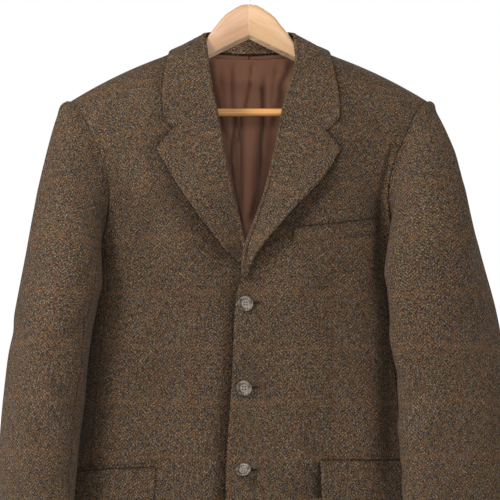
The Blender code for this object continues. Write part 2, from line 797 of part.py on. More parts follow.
def collar_ends(side):
    """For each section of half a collar: the neck edge, the fold, the leaf's edge and the lean."""
    rows = []
    for neck_x, x, y, z, leaf_x, leaf_z, lean in COLLAR:
        edge = cloth(side, turn_at(neck_x, neck_line(neck_x), 1), neck_line(neck_x))[0]
        base, out = cloth(side, turn_at(leaf_x, leaf_z, 1), leaf_z)
        rows.append((edge, Vector((side * x, y, z)), base + out * (WALL + LEAF_LAY), lean))
    edges = [row[0][0] for row in reversed(front_grid(side))]
    for edge, (x, y, z, leaf_x, leaf_z, lean) in zip(edges, COLLAR_FRONT[side]):
        fold = Vector((side * x, y, z)) if y else on_front(side, x, z, ROLL_HEIGHT)
        end = on_front(side, leaf_x, leaf_z or ridge(leaf_x), WALL + LEAF_LAY)
        rows.append((edge, fold, end, lean))
    return rows


def collar_sections(side):
    """Sections from the centre back to the last one before the gorge."""
    ends = collar_ends(side)
    folds = [fold for edge, fold, end, lean in ends]
    folds = [Vector((-folds[1].x, folds[1].y, folds[1].z))] + folds + [gorge_section(side)[0][2]]
    sections = []
    for index, (edge, fold, end, lean) in enumerate(ends):
        run = (folds[index + 2] - folds[index]).normalized()
        out = front_cloth(side, abs(fold.x), min(fold.z, FACING_TOP_Z))[1]
        up = (UP * (1 - lean) + out * lean).normalized()
        way = up.cross(run).normalized() * side
        up = (run.cross(way) * side).normalized()
        points = roll_section(edge, fold, way, up, lean)
        sections.append(points + leaf_points(side, points[-1], end, LEAF_STEPS, 0.0, RIDGE_LIFT))
    return sections


def add_collar(holder):
    columns = collar_sections(-1)[:0:-1] + collar_sections(1)
    ends = {}
    for side in (-1, 1):
        points, facing = gorge_section(side)
        tip, out = front_cloth(side, *GORGE[side]["collar_tip"])
        ends[side] = list(zip(points + [tip + out * (WALL + LEAF_LAY)], facing + [out]))
    columns = [[point for point, _ in ends[-1]]] + columns + [[point for point, _ in ends[1]]]
    grid = with_normals([list(row) for row in zip(*columns)], 1)
    for row, left_end, right_end in zip(grid, ends[1], ends[-1]):
        row[0] = right_end
        row[-1] = left_end
    wall("collar", grid, WALL, "tweed", holder, "lrb", GORGE_GAP)


def lapel_grid(side):
    """The turned front from the gorge down to the break."""
    roll = [(row[0], row[1] if side == 1 else row[2]) for row in FRONT_ROWS]
    top_z = FRONT_ROWS[-1 - GORGE_ROW][0]
    points, facing = gorge_section(side)
    tip, out = front_cloth(side, *GORGE[side]["lapel_tip"])
    sections = [points + [tip + out * (WALL + LEAF_LAY)]]
    for index in range(1, LAPEL_ROWS):
        share = index / (LAPEL_ROWS - 1)
        z = mix(top_z, LAPEL_END_Z, share)
        edge_x, _, edge_z = along([(x, 0, z) for x, z in LAPEL_EDGE[side]], share)
        swell = LAPEL_FLARE * ease((share - 0.30) / 0.35) * ease((1.0 - share) / 0.22)
        sections.append(flat_roll(side, read_row(roll, z)[0], z, edge_x, edge_z, LEAF_STEPS, swell))
    grid = with_normals(sections, -side)
    grid[0] = list(zip(sections[0], facing + [out]))
    return grid


# ---- pockets ----


def strip_on(side, start, end, depth, steps, rows, lift):
    """A patch on the torso's front or side below a line, in turns round the section."""
    grid = []
    for row in range(rows):
        line = []
        for step in range(steps):
            share = step / (steps - 1)
            z = mix(start[1], end[1], share) - depth * row / (rows - 1)
            turn = mix(turn_at(start[0], start[1]), turn_at(end[0], end[1]), share)
            point, out = cloth(side, turn, z)
            line.append((point + out * lift, out))
        grid.append(line)
    return grid


def pocket_end(side, pocket):
    """Where the pocket's line ends when its length is laid round the torso."""
    x = pocket["x"]
    z = pocket["z"]
    length = 0.0
    before = front_cloth(side, x, z)[0]
    while length < pocket["length"]:
        x += POCKET_STEP
        z -= POCKET_STEP * pocket["slant"]
        after = front_cloth(side, x, z)[0]
        length += (after - before).length
        before = after
        if x > POCKET_LIMIT * read_row(TORSO, z)[0]:
            break
    return x, z


def add_pockets(side, name, holder):
    pocket = POCKETS[side]
    start = pocket["x"], pocket["z"]
    end = pocket_end(side, pocket)
    jet = strip_on(side, start, end, JET_DEPTH, 11, 2, FLAP_WALL + LAY)
    wall(f"pocket_jet_{name}", jet, FLAP_WALL, "tweed", holder)
    low_start = start[0], start[1] - JET_DEPTH
    low_end = end[0], end[1] - JET_DEPTH
    flap = strip_on(side, low_start, low_end, pocket["depth"], 11, 4, FLAP_WALL + LAY)
    wall(f"pocket_flap_{name}", flap, FLAP_WALL, "tweed", holder)


def add_welt(holder):
    x, z, end_x, end_z = WELT_LINE
    grid = strip_on(1, (x, z), (end_x, end_z), WELT_DEPTH, 8, 3, WALL + LAY)
    wall("breast_welt", grid, WALL, "tweed", holder)


# ---- hard parts ----


def add_button(number, x, z, tilt, holder):
    """A turned disc with a raised rim, facing out from the front."""
    shape = bmesh.new()
    rings = []
    for share, height in BUTTON_PROFILE:
        if share == 0:
            rings.append([shape.verts.new((0, 0, height))])
            continue
        ring = []
        for index in range(BUTTON_SIDES):
            angle = 2 * math.pi * index / BUTTON_SIDES
            radius = BUTTON_RADIUS * share
            ring.append(shape.verts.new((radius * math.cos(angle), radius * math.sin(angle), height)))
        rings.append(ring)
    for index in range(BUTTON_SIDES):
        after = (index + 1) % BUTTON_SIDES
        shape.faces.new((rings[0][0], rings[1][index], rings[1][after]))
        for low, high in zip(rings[1:], rings[2:]):
            shape.faces.new((low[index], high[index], high[after], low[after]))
    shape.faces.new(rings[-1][::-1])
    bmesh.ops.recalc_face_normals(shape, faces=shape.faces)
    mesh = bpy.data.meshes.new(f"button_{number}")
    shape.to_mesh(mesh)
    shape.free()
    made = add_object(f"button_{number}", mesh, "horn", holder)
    point, out = front_cloth(1, x, z)
    facing = (out + Vector((0, 0, tilt))).normalized()
    made.rotation_mode = "QUATERNION"
    made.rotation_quaternion = facing.to_track_quat("Z", "Y")
    made.location = point + out * (BUTTON_GAP + abs(tilt) * BUTTON_RADIUS)


def add_hanger_half(side, name, holder):
    """One contoured arm, swept outwards from the mitre at the centre."""
    shape = bmesh.new()
    rings = []
    for index, (x, top, bottom) in enumerate(HANGER):
        top = top or ridge(x) - WALL - WOOD_REST
        x = side * (x + (SEAM / 2 if index == 0 else 0))
        crown = WOOD_HALF - WOOD_CROWN
        flat = WOOD_HALF - WOOD_CHAMFER
        right = [(crown, top), (WOOD_HALF, top - WOOD_CROWN)]
        right += [(WOOD_HALF, bottom + WOOD_CHAMFER), (flat, bottom)]
        outline = right + [(-y, z) for y, z in reversed(right)]
        rings.append([shape.verts.new((x, y, z)) for y, z in outline])
    for low, high in zip(rings, rings[1:]):
        for here in range(len(low)):
            after = (here + 1) % len(low)
            shape.faces.new((low[here], low[after], high[after], high[here]))
    shape.faces.new(rings[0])
    shape.faces.new(rings[-1][::-1])
    bmesh.ops.recalc_face_normals(shape, faces=shape.faces)
    mesh = bpy.data.meshes.new(f"hanger_{name}")
    shape.to_mesh(mesh)
    shape.free()
    add_object(f"hanger_{name}", mesh, "wood", holder)


def add_bar(holder):
    shape = bmesh.new()
    sizes = {"radius1": BAR_RADIUS, "radius2": BAR_RADIUS, "depth": 2 * BAR_HALF}
    bmesh.ops.create_cone(shape, cap_ends=True, segments=16, **sizes)
    mesh = bpy.data.meshes.new("hanger_bar")
    shape.to_mesh(mesh)
    shape.free()
    made = add_object("hanger_bar", mesh, "wood", holder)
    made.rotation_euler = (0, math.pi / 2, 0)
    made.location = (0, 0, BAR_Z)


def hook_path():
    """Wire centres from the wood up the shank and round the crown to the open tip."""
    radius = HOOK_LOOP + HOOK_WIRE
    centre_z = -HOOK_LOOP
    shank_top = centre_z - radius * HOOK_SHANK
    points = [Vector((0, 0, mix(HANGER[0][1] + SEAM, shank_top, share))) for share in (0, 0.5, 1)]
    loop = []
    for step in range(HOOK_STEPS + 1):
        angle = HOOK_START + HOOK_SWEEP * step / HOOK_STEPS
        loop.append(Vector((radius * math.cos(angle), 0, centre_z + radius * math.sin(angle))))
    leave = UP * HOOK_BEND
    arrive = (loop[1] - loop[0]).normalized() * HOOK_BEND
    bend = [curve_between(points[-1], loop[0], leave, arrive, share) for share in (0.33, 0.67)]
    return points + bend + loop


def add_hook(holder):
    line = bpy.data.curves.new("hanger_hook", "CURVE")
    line.dimensions = "3D"
    line.bevel_depth = HOOK_WIRE
    line.bevel_resolution = 2
    line.use_fill_caps = True
    points = hook_path()
    spline = line.splines.new("POLY")
    spline.points.add(len(points) - 1)
    for place, point in zip(spline.points, points):
        place.co = (*point, 1)
    line.materials.append(material("chrome"))
    made = bpy.data.objects.new("hanger_hook", line)
    bpy.context.collection.objects.link(made)
    made.parent = holder


def lining_grid():
    """The back lining from one side to the other, made from the backs' points."""
    rows = zip(back_grid(-1)[:-1], back_grid(1)[:-1])
    grid = [right[LINING_COLUMNS:0:-1] + left[: LINING_COLUMNS + 1] for right, left in rows]
    return [[(point - out * (WALL + LINING_GAP), out) for point, out in row] for row in grid]


def build():
    for old in list(bpy.data.objects):
        bpy.data.objects.remove(old)
    holder = bpy.data.objects.new("jacket_on_hanger", None)
    bpy.context.collection.objects.link(holder)
    for side, name in ((1, "left"), (-1, "right")):
        wall(f"front_{name}", front_grid(side), WALL, "tweed", holder)
        wall(f"side_{name}", side_grid(side), WALL, "tweed", holder)
        wall(f"back_{name}", back_grid(side), WALL, "tweed", holder)
        add_sleeve(side, name, holder)
        wall(f"lapel_{name}", lapel_grid(side), WALL, "tweed", holder, "b", GORGE_GAP)
        add_pockets(side, name, holder)
        add_hanger_half(side, name, holder)
    add_collar(holder)
    add_welt(holder)
    wall("lining_back", lining_grid(), SATIN, "satin", holder, "")
    for number, (x, z, tilt) in enumerate(BUTTONS, 1):
        add_button(number, x, z, tilt, holder)
    add_bar(holder)
    add_hook(holder)


build()
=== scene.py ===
# %% [markdown]
# # A tweed jacket on a wooden hanger
#
# This lesson dresses a finished CAD model of a jacket. The model gives one solid for each
# piece of cloth, cut and sewn as a tailor would, and for the hanger, the hook and the buttons.
# Here each of them gets a smooth shell, its creases, its weave and its sewing.
# Lengths are metres, +Z is up, the fronts face -Y and the wearer's left is +X.

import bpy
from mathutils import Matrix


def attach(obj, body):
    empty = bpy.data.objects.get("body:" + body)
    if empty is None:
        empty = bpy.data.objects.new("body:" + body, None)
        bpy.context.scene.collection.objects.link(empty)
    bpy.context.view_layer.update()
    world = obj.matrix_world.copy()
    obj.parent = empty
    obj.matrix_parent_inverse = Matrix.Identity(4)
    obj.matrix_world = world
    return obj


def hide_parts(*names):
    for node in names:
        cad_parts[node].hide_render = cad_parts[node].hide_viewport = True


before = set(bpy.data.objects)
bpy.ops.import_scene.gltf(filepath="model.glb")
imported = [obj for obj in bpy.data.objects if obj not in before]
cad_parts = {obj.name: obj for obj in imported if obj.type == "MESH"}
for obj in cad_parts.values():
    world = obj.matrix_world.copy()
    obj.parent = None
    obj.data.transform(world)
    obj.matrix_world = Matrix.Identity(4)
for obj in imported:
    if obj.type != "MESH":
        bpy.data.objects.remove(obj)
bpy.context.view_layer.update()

# %% Modules
import math

import bmesh
import bpy
import numpy as np
from mathutils import Vector

# %% [markdown]
# ## Measuring tools
#
# A cutter keeps measurements in tables and draws smooth lines through them with a curved ruler.
# The next helpers do the same: `read_row` reads a table between its rows on a smooth curve.

# %% Curved ruler
def mix(low, high, share):
    return low * (1 - share) + high * share


def ease(share):
    share = max(0.0, min(1.0, share))
    return share * share * (3 - 2 * share)


def curve_between(low, high, low_pull, high_pull, share):
    """A cubic from low to high that leaves and arrives with the two pulls."""
    rest = 1 - share
    ends = low * rest * rest * (1 + 2 * share) + high * share * share * (3 - 2 * share)
    return ends + low_pull * share * rest * rest - high_pull * share * share * rest


def read_row(table, at):
    """A table's other columns at one value of its first, on a smooth curve through its rows."""
    rows = sorted(table)
    last = len(rows) - 1
    here = max(0, min(last - 1, sum(row[0] <= at for row in rows) - 1))
    step = rows[here + 1][0] - rows[here][0]
    share = max(0.0, min(1.0, (at - rows[here][0]) / step))
    values = []
    for column in range(1, len(rows[0])):
        pulls = []
        for index in (here, here + 1):
            before = rows[max(index - 1, 0)]
            after = rows[min(index + 1, last)]
            pulls.append(step * (after[column] - before[column]) / (after[0] - before[0]))
        ends = rows[here][column], rows[here + 1][column]
        values.append(curve_between(*ends, *pulls, share))
    return values


def along(points, share):
    """The point at a share of the length of a run of points."""
    points = [Vector(point) for point in points]
    lengths = [(after - before).length for before, after in zip(points, points[1:])]
    left = share * sum(lengths)
    for before, after, length in zip(points, points[1:], lengths):
        if left <= length:
            return before.lerp(after, left / length)
        left -= length
    return points[-1]


print("halfway through a bend:", round(ease(0.5), 2))

# %% [markdown]
# ## The body of the jacket
#
# A hanging jacket is a soft tube. Every level section is a rounded box, wider than deep, so a
# superellipse says it with three numbers: half the width, and the depth in front and behind.
# Sculpting would be quicker to start, but sections keep left and right, collar and pockets on
# the same surface, and that surface is the one that the CAD solids have.

# %% Cloth and its gaps
WALL = 0.0024  # tweed with its canvas
SATIN = 0.001  # lining
LINING_GAP = 0.0012  # between a back and its lining
LINING_COLUMNS = 7  # of each back's columns
LAY = 0.0007  # gap under a piece that lies on a panel
LEAF_LAY = 0.0013  # gap under a lapel or the collar's leaf
UP = Vector((0, 0, 1))
SIDES = ((1, "left"), (-1, "right"))  # the wearer's, as the sign of x

# %% Level sections of the torso
HEM_Z = -0.893
NECK_X = 0.0785  # neck point of the shoulder seam
SHOULDER_X = 0.2305  # sleeve end of the shoulder seam
NECK_DIP = 0.0072  # the back neck seam below the neck points
POWER = 2.5  # roundness of a level section, 2 is an ellipse
NECK_REACH = 0.19  # height over which the front closes onto the shoulder seam
SHOULDER_REACH = 0.105
BACK_REACH = 0.15
TORSO = (
    # height, half_width, front, back
    (-0.893, 0.24, 0.08, 0.104),
    (-0.8, 0.233, 0.081, 0.1),
    (-0.7, 0.225, 0.082, 0.095),
    (-0.6, 0.216, 0.083, 0.09),
    (-0.52, 0.207, 0.085, 0.089),
    (-0.455, 0.199, 0.088, 0.093),
    (-0.395, 0.2, 0.09, 0.099),
    (-0.3, 0.217, 0.09, 0.104),
    (-0.21, 0.254, 0.087, 0.099),
    (-0.1, 0.284, 0.085, 0.095),
)
TURN_STEP = 0.002  # steps round and up the torso that show which way its cloth faces
RISE_STEP = 0.00002
FRONT_SEAM_SHARE = 0.92  # of the half width, where the front meets the side body
BACK_SEAM_SHARE = 0.86
UNDERARM_DIP = 0.03  # the armhole's lowest point below the side seams' tops
print("torso sections:", len(TORSO))

# %% How the fronts lap, and the largest folds
LAP_DROP = (
    # height, depth: how far the under front is set in below the other one
    (-0.893, 0.0036),
    (-0.5, 0.0036),
    (-0.455, 0.0044),
    (-0.42, 0.0076),
    (-0.362, 0.0076),
    (-0.335, 0.005),
    (-0.29, 0.0015),
    (-0.24, 0.0),
    (-0.1, 0.0),
)
LAP_FULL_X = 0.024  # the drop is whole up to here
LAP_END_X = 0.09  # and none from here
CLOTH_FOLDS = (
    # side, face, x, bottom_z, top_z, half_width, depth
    (1, -1, 0.112, -0.7, -0.34, 0.03, -0.003),
    (-1, -1, 0.122, -0.68, -0.36, 0.028, -0.0035),
    (1, -1, 0.158, -0.86, -0.48, 0.026, 0.003),
    (-1, -1, 0.166, -0.84, -0.45, 0.024, 0.003),
    (1, 1, 0.052, -0.9, -0.5, 0.03, 0.005),
    (-1, 1, 0.062, -0.9, -0.47, 0.032, 0.0045),
    (1, 1, 0.118, -0.9, -0.42, 0.028, -0.005),
    (-1, 1, 0.128, -0.9, -0.45, 0.03, -0.0055),
    (1, 1, 0.16, -0.88, -0.38, 0.02, 0.004),
    (-1, 1, 0.105, -0.33, -0.19, 0.026, -0.003),
    (1, 1, 0.098, -0.35, -0.2, 0.028, -0.0028),
)

# %% The torso's surface
def ridge(x):
    """Height of the shoulder line."""
    return -0.1094 - 0.11 * abs(x) - 1.1 * x * x


def bump(distance, half_width):
    return math.exp(-((distance / half_width) ** 2))


def fold_depth(side, face, x, z):
    depth = 0.0
    for fold_side, fold_face, fold_x, bottom, top, half_width, height in CLOTH_FOLDS:
        if (fold_side, fold_face) == (side, face):
            fade = ease((z - bottom) / 0.1 + 0.35) * ease((top - z) / 0.1)
            depth += height * fade * bump(x - fold_x, half_width)
    return depth


def lap_drop(side, x, z):
    if side == 1:
        return 0.0
    return read_row(LAP_DROP, z)[0] * ease((LAP_END_X - x) / (LAP_END_X - LAP_FULL_X))


def turn_at(x, z, face=-1):
    """How far round the section x lies: 0 at the centre front, pi / 2 at the side."""
    share = min(1.0, abs(x) / read_row(TORSO, z)[0])
    turn = math.asin(share ** (POWER / 2))
    return math.copysign(turn, x) if face < 0 else math.pi - turn


def torso(side, turn, z):
    half_width, front, back = read_row(TORSO, z)
    x = math.copysign(half_width * abs(math.sin(turn)) ** (2 / POWER), math.sin(turn))
    out = abs(math.cos(turn)) ** (2 / POWER)
    face = 1 if turn > math.pi / 2 else -1
    reach = mix(NECK_REACH, SHOULDER_REACH, min(1.0, abs(x) / SHOULDER_X))
    if face == 1:
        reach = BACK_REACH
    rise = 1 - min(1.0, max(0.0, ridge(x) - z) / reach)
    closing = math.sqrt(1 - rise * rise)
    depth = (back if face == 1 else front) * out + fold_depth(side, face, x, z)
    if face == -1:
        depth -= lap_drop(side, x, z)
    return Vector((side * x, face * depth * closing, z))


def cloth(side, turn, z):
    """A point of the torso's outer face with the direction that faces out there."""
    point = torso(side, turn, z)
    around = torso(side, turn + TURN_STEP, z) - torso(side, turn - TURN_STEP, z)
    rise = point - torso(side, turn, z - RISE_STEP)
    return point, (around.cross(rise) * side).normalized()


def front_cloth(side, x, z):
    return cloth(side, turn_at(x, z), z)


def on_front(side, x, z, lift):
    point, out = front_cloth(side, x, z)
    return point + out * lift


def lifted(point, side, lift):
    """Moves a point out where it lies less than lift above the torso."""
    for _ in range(2):
        x = side * point.x
        above = point.z - ridge(x)
        if above >= 0:
            near = point.y * point.y / (2 * BACK_REACH)
            if above + near < lift:
                point = point + UP * (lift - above - near)
            continue
        face = 1 if point.y > 0 else -1
        base, out = cloth(side, turn_at(x, point.z, face), point.z)
        gap = (point - base).dot(out)
        if gap < lift:
            point = point + out * (lift - gap)
    return point


print("chest point at the third button:", [round(v, 3) for v in front_cloth(1, 0.0, -0.666)[0]])

# %% [markdown]
# ## Fronts, backs and side bodies
#
# A jacket's body has six main pieces: two fronts that overlap, two backs that meet in the
# centre back seam, and a narrow side body under each arm. Each is a grid of points whose ends
# come from a table, so the edges of neighbours are the same line, as they are once sewn.

# %% Table of the fronts
FRONT_ROWS = (
    # edge_z, left_edge, right_edge, side_z, side_x (0 on the side seam)
    (-0.893, 0.06, 0.08, -0.893, 0),
    (-0.886, 0.035, 0.055, -0.886, 0),
    (-0.866, 0.009, 0.028, -0.866, 0),
    (-0.836, -0.012, 0.007, -0.836, 0),
    (-0.79, -0.0245, -0.005, -0.79, 0),
    (-0.735, -0.029, -0.0085, -0.735, 0),
    (-0.666, -0.029, -0.01, -0.666, 0),
    (-0.61, -0.0255, -0.011, -0.61, 0),
    (-0.56, -0.0218, -0.012, -0.56, 0),
    (-0.505, -0.0195, -0.013, -0.505, 0),
    (-0.452, -0.0173, -0.014, -0.452, 0),
    (-0.428, -0.013, -0.0125, -0.425, 0),
    (-0.41, -0.0085, -0.0085, -0.4, 0),
    (-0.39, -0.0095, -0.0015, -0.384, 0),
    (-0.3676, -0.0026, 0.0045, -0.366, 0),
    (-0.341, 0.0077, 0.0115, -0.34, 0.182),
    (-0.304, 0.0201, 0.0208, -0.312, 0.18),
    (-0.2554, 0.0323, 0.0312, -0.285, 0.1833),
    (-0.228, 0.0376, 0.0358, -0.266, 0.189),
    (-0.202, 0.0425, 0.0405, -0.248, 0.1965),
    (-0.181, 0.0486, 0.0455, -0.232, 0.204),
    (-0.16, 0.0545, 0.0488, -0.2185, 0.2103),
    (-0.141, 0.0589, 0.0513, -0.207, 0.216),
    (-0.132, 0.064, 0.059, -0.199, 0.2222),
    (-0.1265, 0.071, 0.069, -0.1945, 0.227),
    (-0.125, 0.0785, 0.0785, -0.193, 0.2305),
)
FRONT_COLUMNS = 12
BREAK_Z = -0.426  # the front's edge starts to tuck into the lapel's roll here
SHOULDER_BLEND_Z = -0.304  # from here up the rows bend to the shoulder seam
EDGE_TUCK = 0.0034  # the panel's edge lies this far inside the lapel's roll
TUCK_START = 0.014  # height over which the tuck grows above the break
TUCK_END = 0.016  # and over which it is gone again below the neck point
NECK_Z = -0.125  # the front's neck point

# %% Table of the backs
BACK_ROWS = (
    # centre_z, side_z, side_x (0 on the side seam)
    (-0.893, -0.893, 0),
    (-0.866, -0.866, 0),
    (-0.79, -0.79, 0),
    (-0.735, -0.735, 0),
    (-0.666, -0.666, 0),
    (-0.61, -0.61, 0),
    (-0.56, -0.56, 0),
    (-0.505, -0.505, 0),
    (-0.452, -0.452, 0),
    (-0.425, -0.425, 0),
    (-0.4, -0.4, 0),
    (-0.384, -0.384, 0),
    (-0.3676, -0.366, 0),
    (-0.335, -0.338, 0.1808),
    (-0.3, -0.308, 0.1858),
    (-0.264, -0.28, 0.1915),
    (-0.228, -0.254, 0.1985),
    (-0.183, -0.23, 0.207),
    (-0.1617, -0.213, 0.214),
    (-0.1464, -0.2015, 0.2205),
    (-0.1358, -0.1945, 0.2265),
    (-0.132, -0.193, 0.2305),
)
BACK_COLUMNS = 10
BACK_BLEND_Z = -0.3
SIDE_COLUMNS = 7

# %% Rows between two seams
def bend_rows(side, low_end, high_end, share, top_line, blend):
    """A torso point between two ends of a row, which follows the top line as blend grows."""
    turn = mix(low_end[0], high_end[0], share)
    flat_z = mix(low_end[1], high_end[1], share)
    drop = mix(low_end[2], high_end[2], share)
    z = flat_z
    for _ in range(8):
        x = read_row(TORSO, z)[0] * abs(math.sin(turn)) ** (2 / POWER)
        z = mix(flat_z, top_line(x) - drop, blend)
    return cloth(side, turn, z)


def front_edge(side, row):
    """Where a row of the front starts: on its edge, or tucked in along the roll line."""
    edge_z, left, right, _, _ = row
    x = left if side == 1 else right
    tuck = ease((edge_z - BREAK_Z) / TUCK_START) * ease((NECK_Z - edge_z) / TUCK_END)
    return x + EDGE_TUCK * tuck, edge_z


def seam_x(share, z):
    return share * read_row(TORSO, z)[0]


def front_side_end(row):
    _, _, _, side_z, side_x = row
    return (side_x or seam_x(FRONT_SEAM_SHARE, side_z)), side_z


def back_side_end(row):
    _, side_z, side_x = row
    return (side_x or seam_x(BACK_SEAM_SHARE, side_z)), side_z


def row_end(x, z, face, top_line, is_top):
    drop = 0.0 if is_top else max(0.0, top_line(x) - z)
    if is_top:
        z = top_line(x)
    return turn_at(x, z, face), z, drop


# %% Front, back and side grids
def front_grid(side):
    grid = []
    for row in FRONT_ROWS:
        is_top = row is FRONT_ROWS[-1]
        start = row_end(*front_edge(side, row), -1, ridge, is_top)
        end = row_end(*front_side_end(row), -1, ridge, is_top)
        blend = ease((row[0] - SHOULDER_BLEND_Z) / (FRONT_ROWS[-1][0] - SHOULDER_BLEND_Z))
        shares = [column / (FRONT_COLUMNS - 1) for column in range(FRONT_COLUMNS)]
        grid.append([bend_rows(side, start, end, share, ridge, blend) for share in shares])
    return grid


def neck_line(x):
    """The top of the back: the neck seam, then the shoulder line."""
    if abs(x) >= NECK_X:
        return ridge(x)
    return ridge(NECK_X) - NECK_DIP * (1 - (x / NECK_X) ** 2)


def back_grid(side):
    grid = []
    for row in BACK_ROWS:
        is_top = row is BACK_ROWS[-1]
        start = row_end(0.0, row[0], 1, neck_line, is_top)
        end = row_end(*back_side_end(row), 1, neck_line, is_top)
        blend = ease((row[0] - BACK_BLEND_Z) / (BACK_ROWS[-1][0] - BACK_BLEND_Z))
        shares = [column / (BACK_COLUMNS - 1) for column in range(BACK_COLUMNS)]
        grid.append([bend_rows(side, start, end, share, neck_line, blend) for share in shares])
    return grid


def side_top(share):
    top = max(side_z for _, _, _, side_z, side_x in FRONT_ROWS if side_x == 0)
    return top - UNDERARM_DIP * math.sin(math.pi * share)


def side_point(side, share, z, seam_z):
    """A point of the side body: share is 0 at the front seam and 1 at the back seam."""
    front_turn = turn_at(seam_x(FRONT_SEAM_SHARE, seam_z), seam_z)
    back_turn = turn_at(seam_x(BACK_SEAM_SHARE, seam_z), seam_z, 1)
    return cloth(side, mix(front_turn, back_turn, share), z)


def side_grid(side):
    grid = []
    seam_top = side_top(0)
    heights = [row[3] for row in FRONT_ROWS if row[4] == 0]
    for seam_z in heights:
        line = []
        for column in range(SIDE_COLUMNS):
            share = column / (SIDE_COLUMNS - 1)
            z = HEM_Z + (seam_z - HEM_Z) * (side_top(share) - HEM_Z) / (seam_top - HEM_Z)
            line.append(side_point(side, share, z, seam_z))
        grid.append(line)
    return grid


print("front grid:", len(front_grid(1)), "rows of", FRONT_COLUMNS)

# %% [markdown]
# ## Sleeves
#
# A tailored sleeve has two pieces and a head that stands up round the armhole. Its rings are
# ellipses that turn with the arm. The first rows are curves from each point of the armhole to
# the first ring, so the head is as round as the armhole asks.

# %% Table of the sleeves
SLEEVE = {
    1: (
        # height, centre_x, centre_y, half_minor, half_major, yaw
        (-0.812, 0.27, -0.094, 0.043, 0.056, 0.9),
        (-0.7, 0.266, -0.077, 0.049, 0.076, 1.02),
        (-0.6, 0.2625, -0.068, 0.05, 0.078, 1.05),
        (-0.52, 0.256, -0.063, 0.05, 0.078, 1.03),
        (-0.47, 0.2485, -0.061, 0.051, 0.0775, 0.97),
        (-0.43, 0.241, -0.061, 0.053, 0.076, 0.86),
    ),
    -1: (
        (-0.808, 0.279, -0.09, 0.042, 0.056, 0.36),
        (-0.7, 0.273, -0.072, 0.048, 0.065, 0.28),
        (-0.6, 0.2655, -0.061, 0.05, 0.07, 0.24),
        (-0.5, 0.2535, -0.056, 0.05, 0.074, 0.22),
        (-0.43, 0.24, -0.054, 0.05, 0.076, 0.21),
    ),
}
CAP_STEPS = (0, 0.07, 0.16, 0.28, 0.42, 0.58, 0.78)  # rows of the sleeve above its first ring
ARM_STEPS = (0, 0.12, 0.26, 0.4, 0.54, 0.7, 0.86, 1)  # rows from the first ring to the cuff
AROUND_ARM = (
    # share of the armhole from its top down the front, angle round the sleeve from outside
    (0.0, 0.0),
    (0.2, 1.25),
    (0.396, 2.7),
    (0.51, 3.45),
    (0.625, 4.25),
    (0.8, 5.05),
    (1.0, 2 * math.pi),
)
FLARE_TOP_Z = -0.215  # the sleeve leaves the armhole along the shoulder above this
FLARE_TURN = 1.92  # and has turned this far away from the torso's cloth at the underarm
HEAD_TURN = 0.36  # the sleeve's head stands up this much at its top
SLEEVE_FOLDS = (
    # height, angle, half_height, half_angle, depth
    (-0.47, 2.6, 0.022, 0.55, -0.0035),
    (-0.54, 3.3, 0.026, 0.6, -0.004),
    (-0.6, 1.9, 0.03, 0.5, -0.003),
    (-0.64, 3.7, 0.022, 0.55, -0.004),
    (-0.7, 5.0, 0.03, 0.55, 0.0025),
    (-0.74, 2.6, 0.024, 0.55, -0.003),
)
FALL_STEP = 0.03  # height that shows which way the sleeve leads below its first ring
FOREARM_SEAM = 10  # column where the top sleeve ends in front
HINDARM_SEAM = 20  # column where it ends behind

# %% Rings and heads
def armhole(side):
    """The armhole's points from the shoulder down the front and up the back."""
    fronts = [grid_row[-1] for grid_row in front_grid(side)]
    backs = [grid_row[-1] for grid_row in back_grid(side)]
    front_count = sum(row[4] != 0 for row in FRONT_ROWS) + 1
    back_count = sum(row[2] != 0 for row in BACK_ROWS)
    under = side_grid(side)[-1][1:]
    return fronts[::-1][:front_count] + under + backs[-back_count:-1]


def sleeve_ring(side, z, angle):
    centre_x, centre_y, minor, major, yaw = read_row(SLEEVE[side], z)
    swell = 0.0
    for fold_z, fold_angle, half_height, half_angle, depth in SLEEVE_FOLDS:
        swell += depth * bump(z - fold_z, half_height) * bump(angle - fold_angle, half_angle)
    outward = Vector((math.cos(yaw), -math.sin(yaw), 0))
    forward = Vector((-math.sin(yaw), -math.cos(yaw), 0))
    point = Vector((centre_x, centre_y, z)) + outward * (minor + swell) * math.cos(angle)
    point += forward * (major + swell) * math.sin(angle)
    return Vector((side * point.x, point.y, z))


def sleeve_points(side):
    loop = armhole(side)
    count = len(loop)
    spans = [(loop[(i + 1) % count][0] - loop[i][0]).length for i in range(count)]
    shares = [sum(spans[:i]) / sum(spans) for i in range(count)]
    top_z = SLEEVE[side][-1][0]
    cuff_z = SLEEVE[side][0][0]
    columns = []
    for index, (start, out) in enumerate(loop):
        angle = read_row(AROUND_ARM, shares[index])[0]
        ring = sleeve_ring(side, top_z, angle)
        run = loop[(index + 1) % count][0] - loop[index - 1][0]
        over = out.cross(run).normalized() * side
        depth = ease((FLARE_TOP_Z - start.z) / (FLARE_TOP_Z - side_top(0.5)))
        flare = mix(HEAD_TURN, FLARE_TURN, depth)
        leave = over * math.cos(flare) + out * math.sin(flare)
        fall = (sleeve_ring(side, top_z - FALL_STEP, angle) - ring).normalized()
        length = (ring - start).length
        pulls = leave * length * mix(0.18, 0.55, depth), fall * length * mix(1.35, 0.85, depth)
        column = [curve_between(start, ring, *pulls, share) for share in CAP_STEPS]
        heights = [mix(top_z, cuff_z, share) for share in ARM_STEPS]
        columns.append(column + [sleeve_ring(side, z, angle) for z in heights])
    return [list(row) for row in zip(*columns)]


print("columns round an armhole:", len(armhole(1)))

# %% [markdown]
# ## Collar and lapels
#
# The collar stands up inside the neck, rolls over and falls. The lapel is the front itself,
# turned outwards along the roll line. Both are built from the same section: up to the roll,
# over it, and out to the edge, held just clear of the chest. They share one section where
# they meet, the gorge.

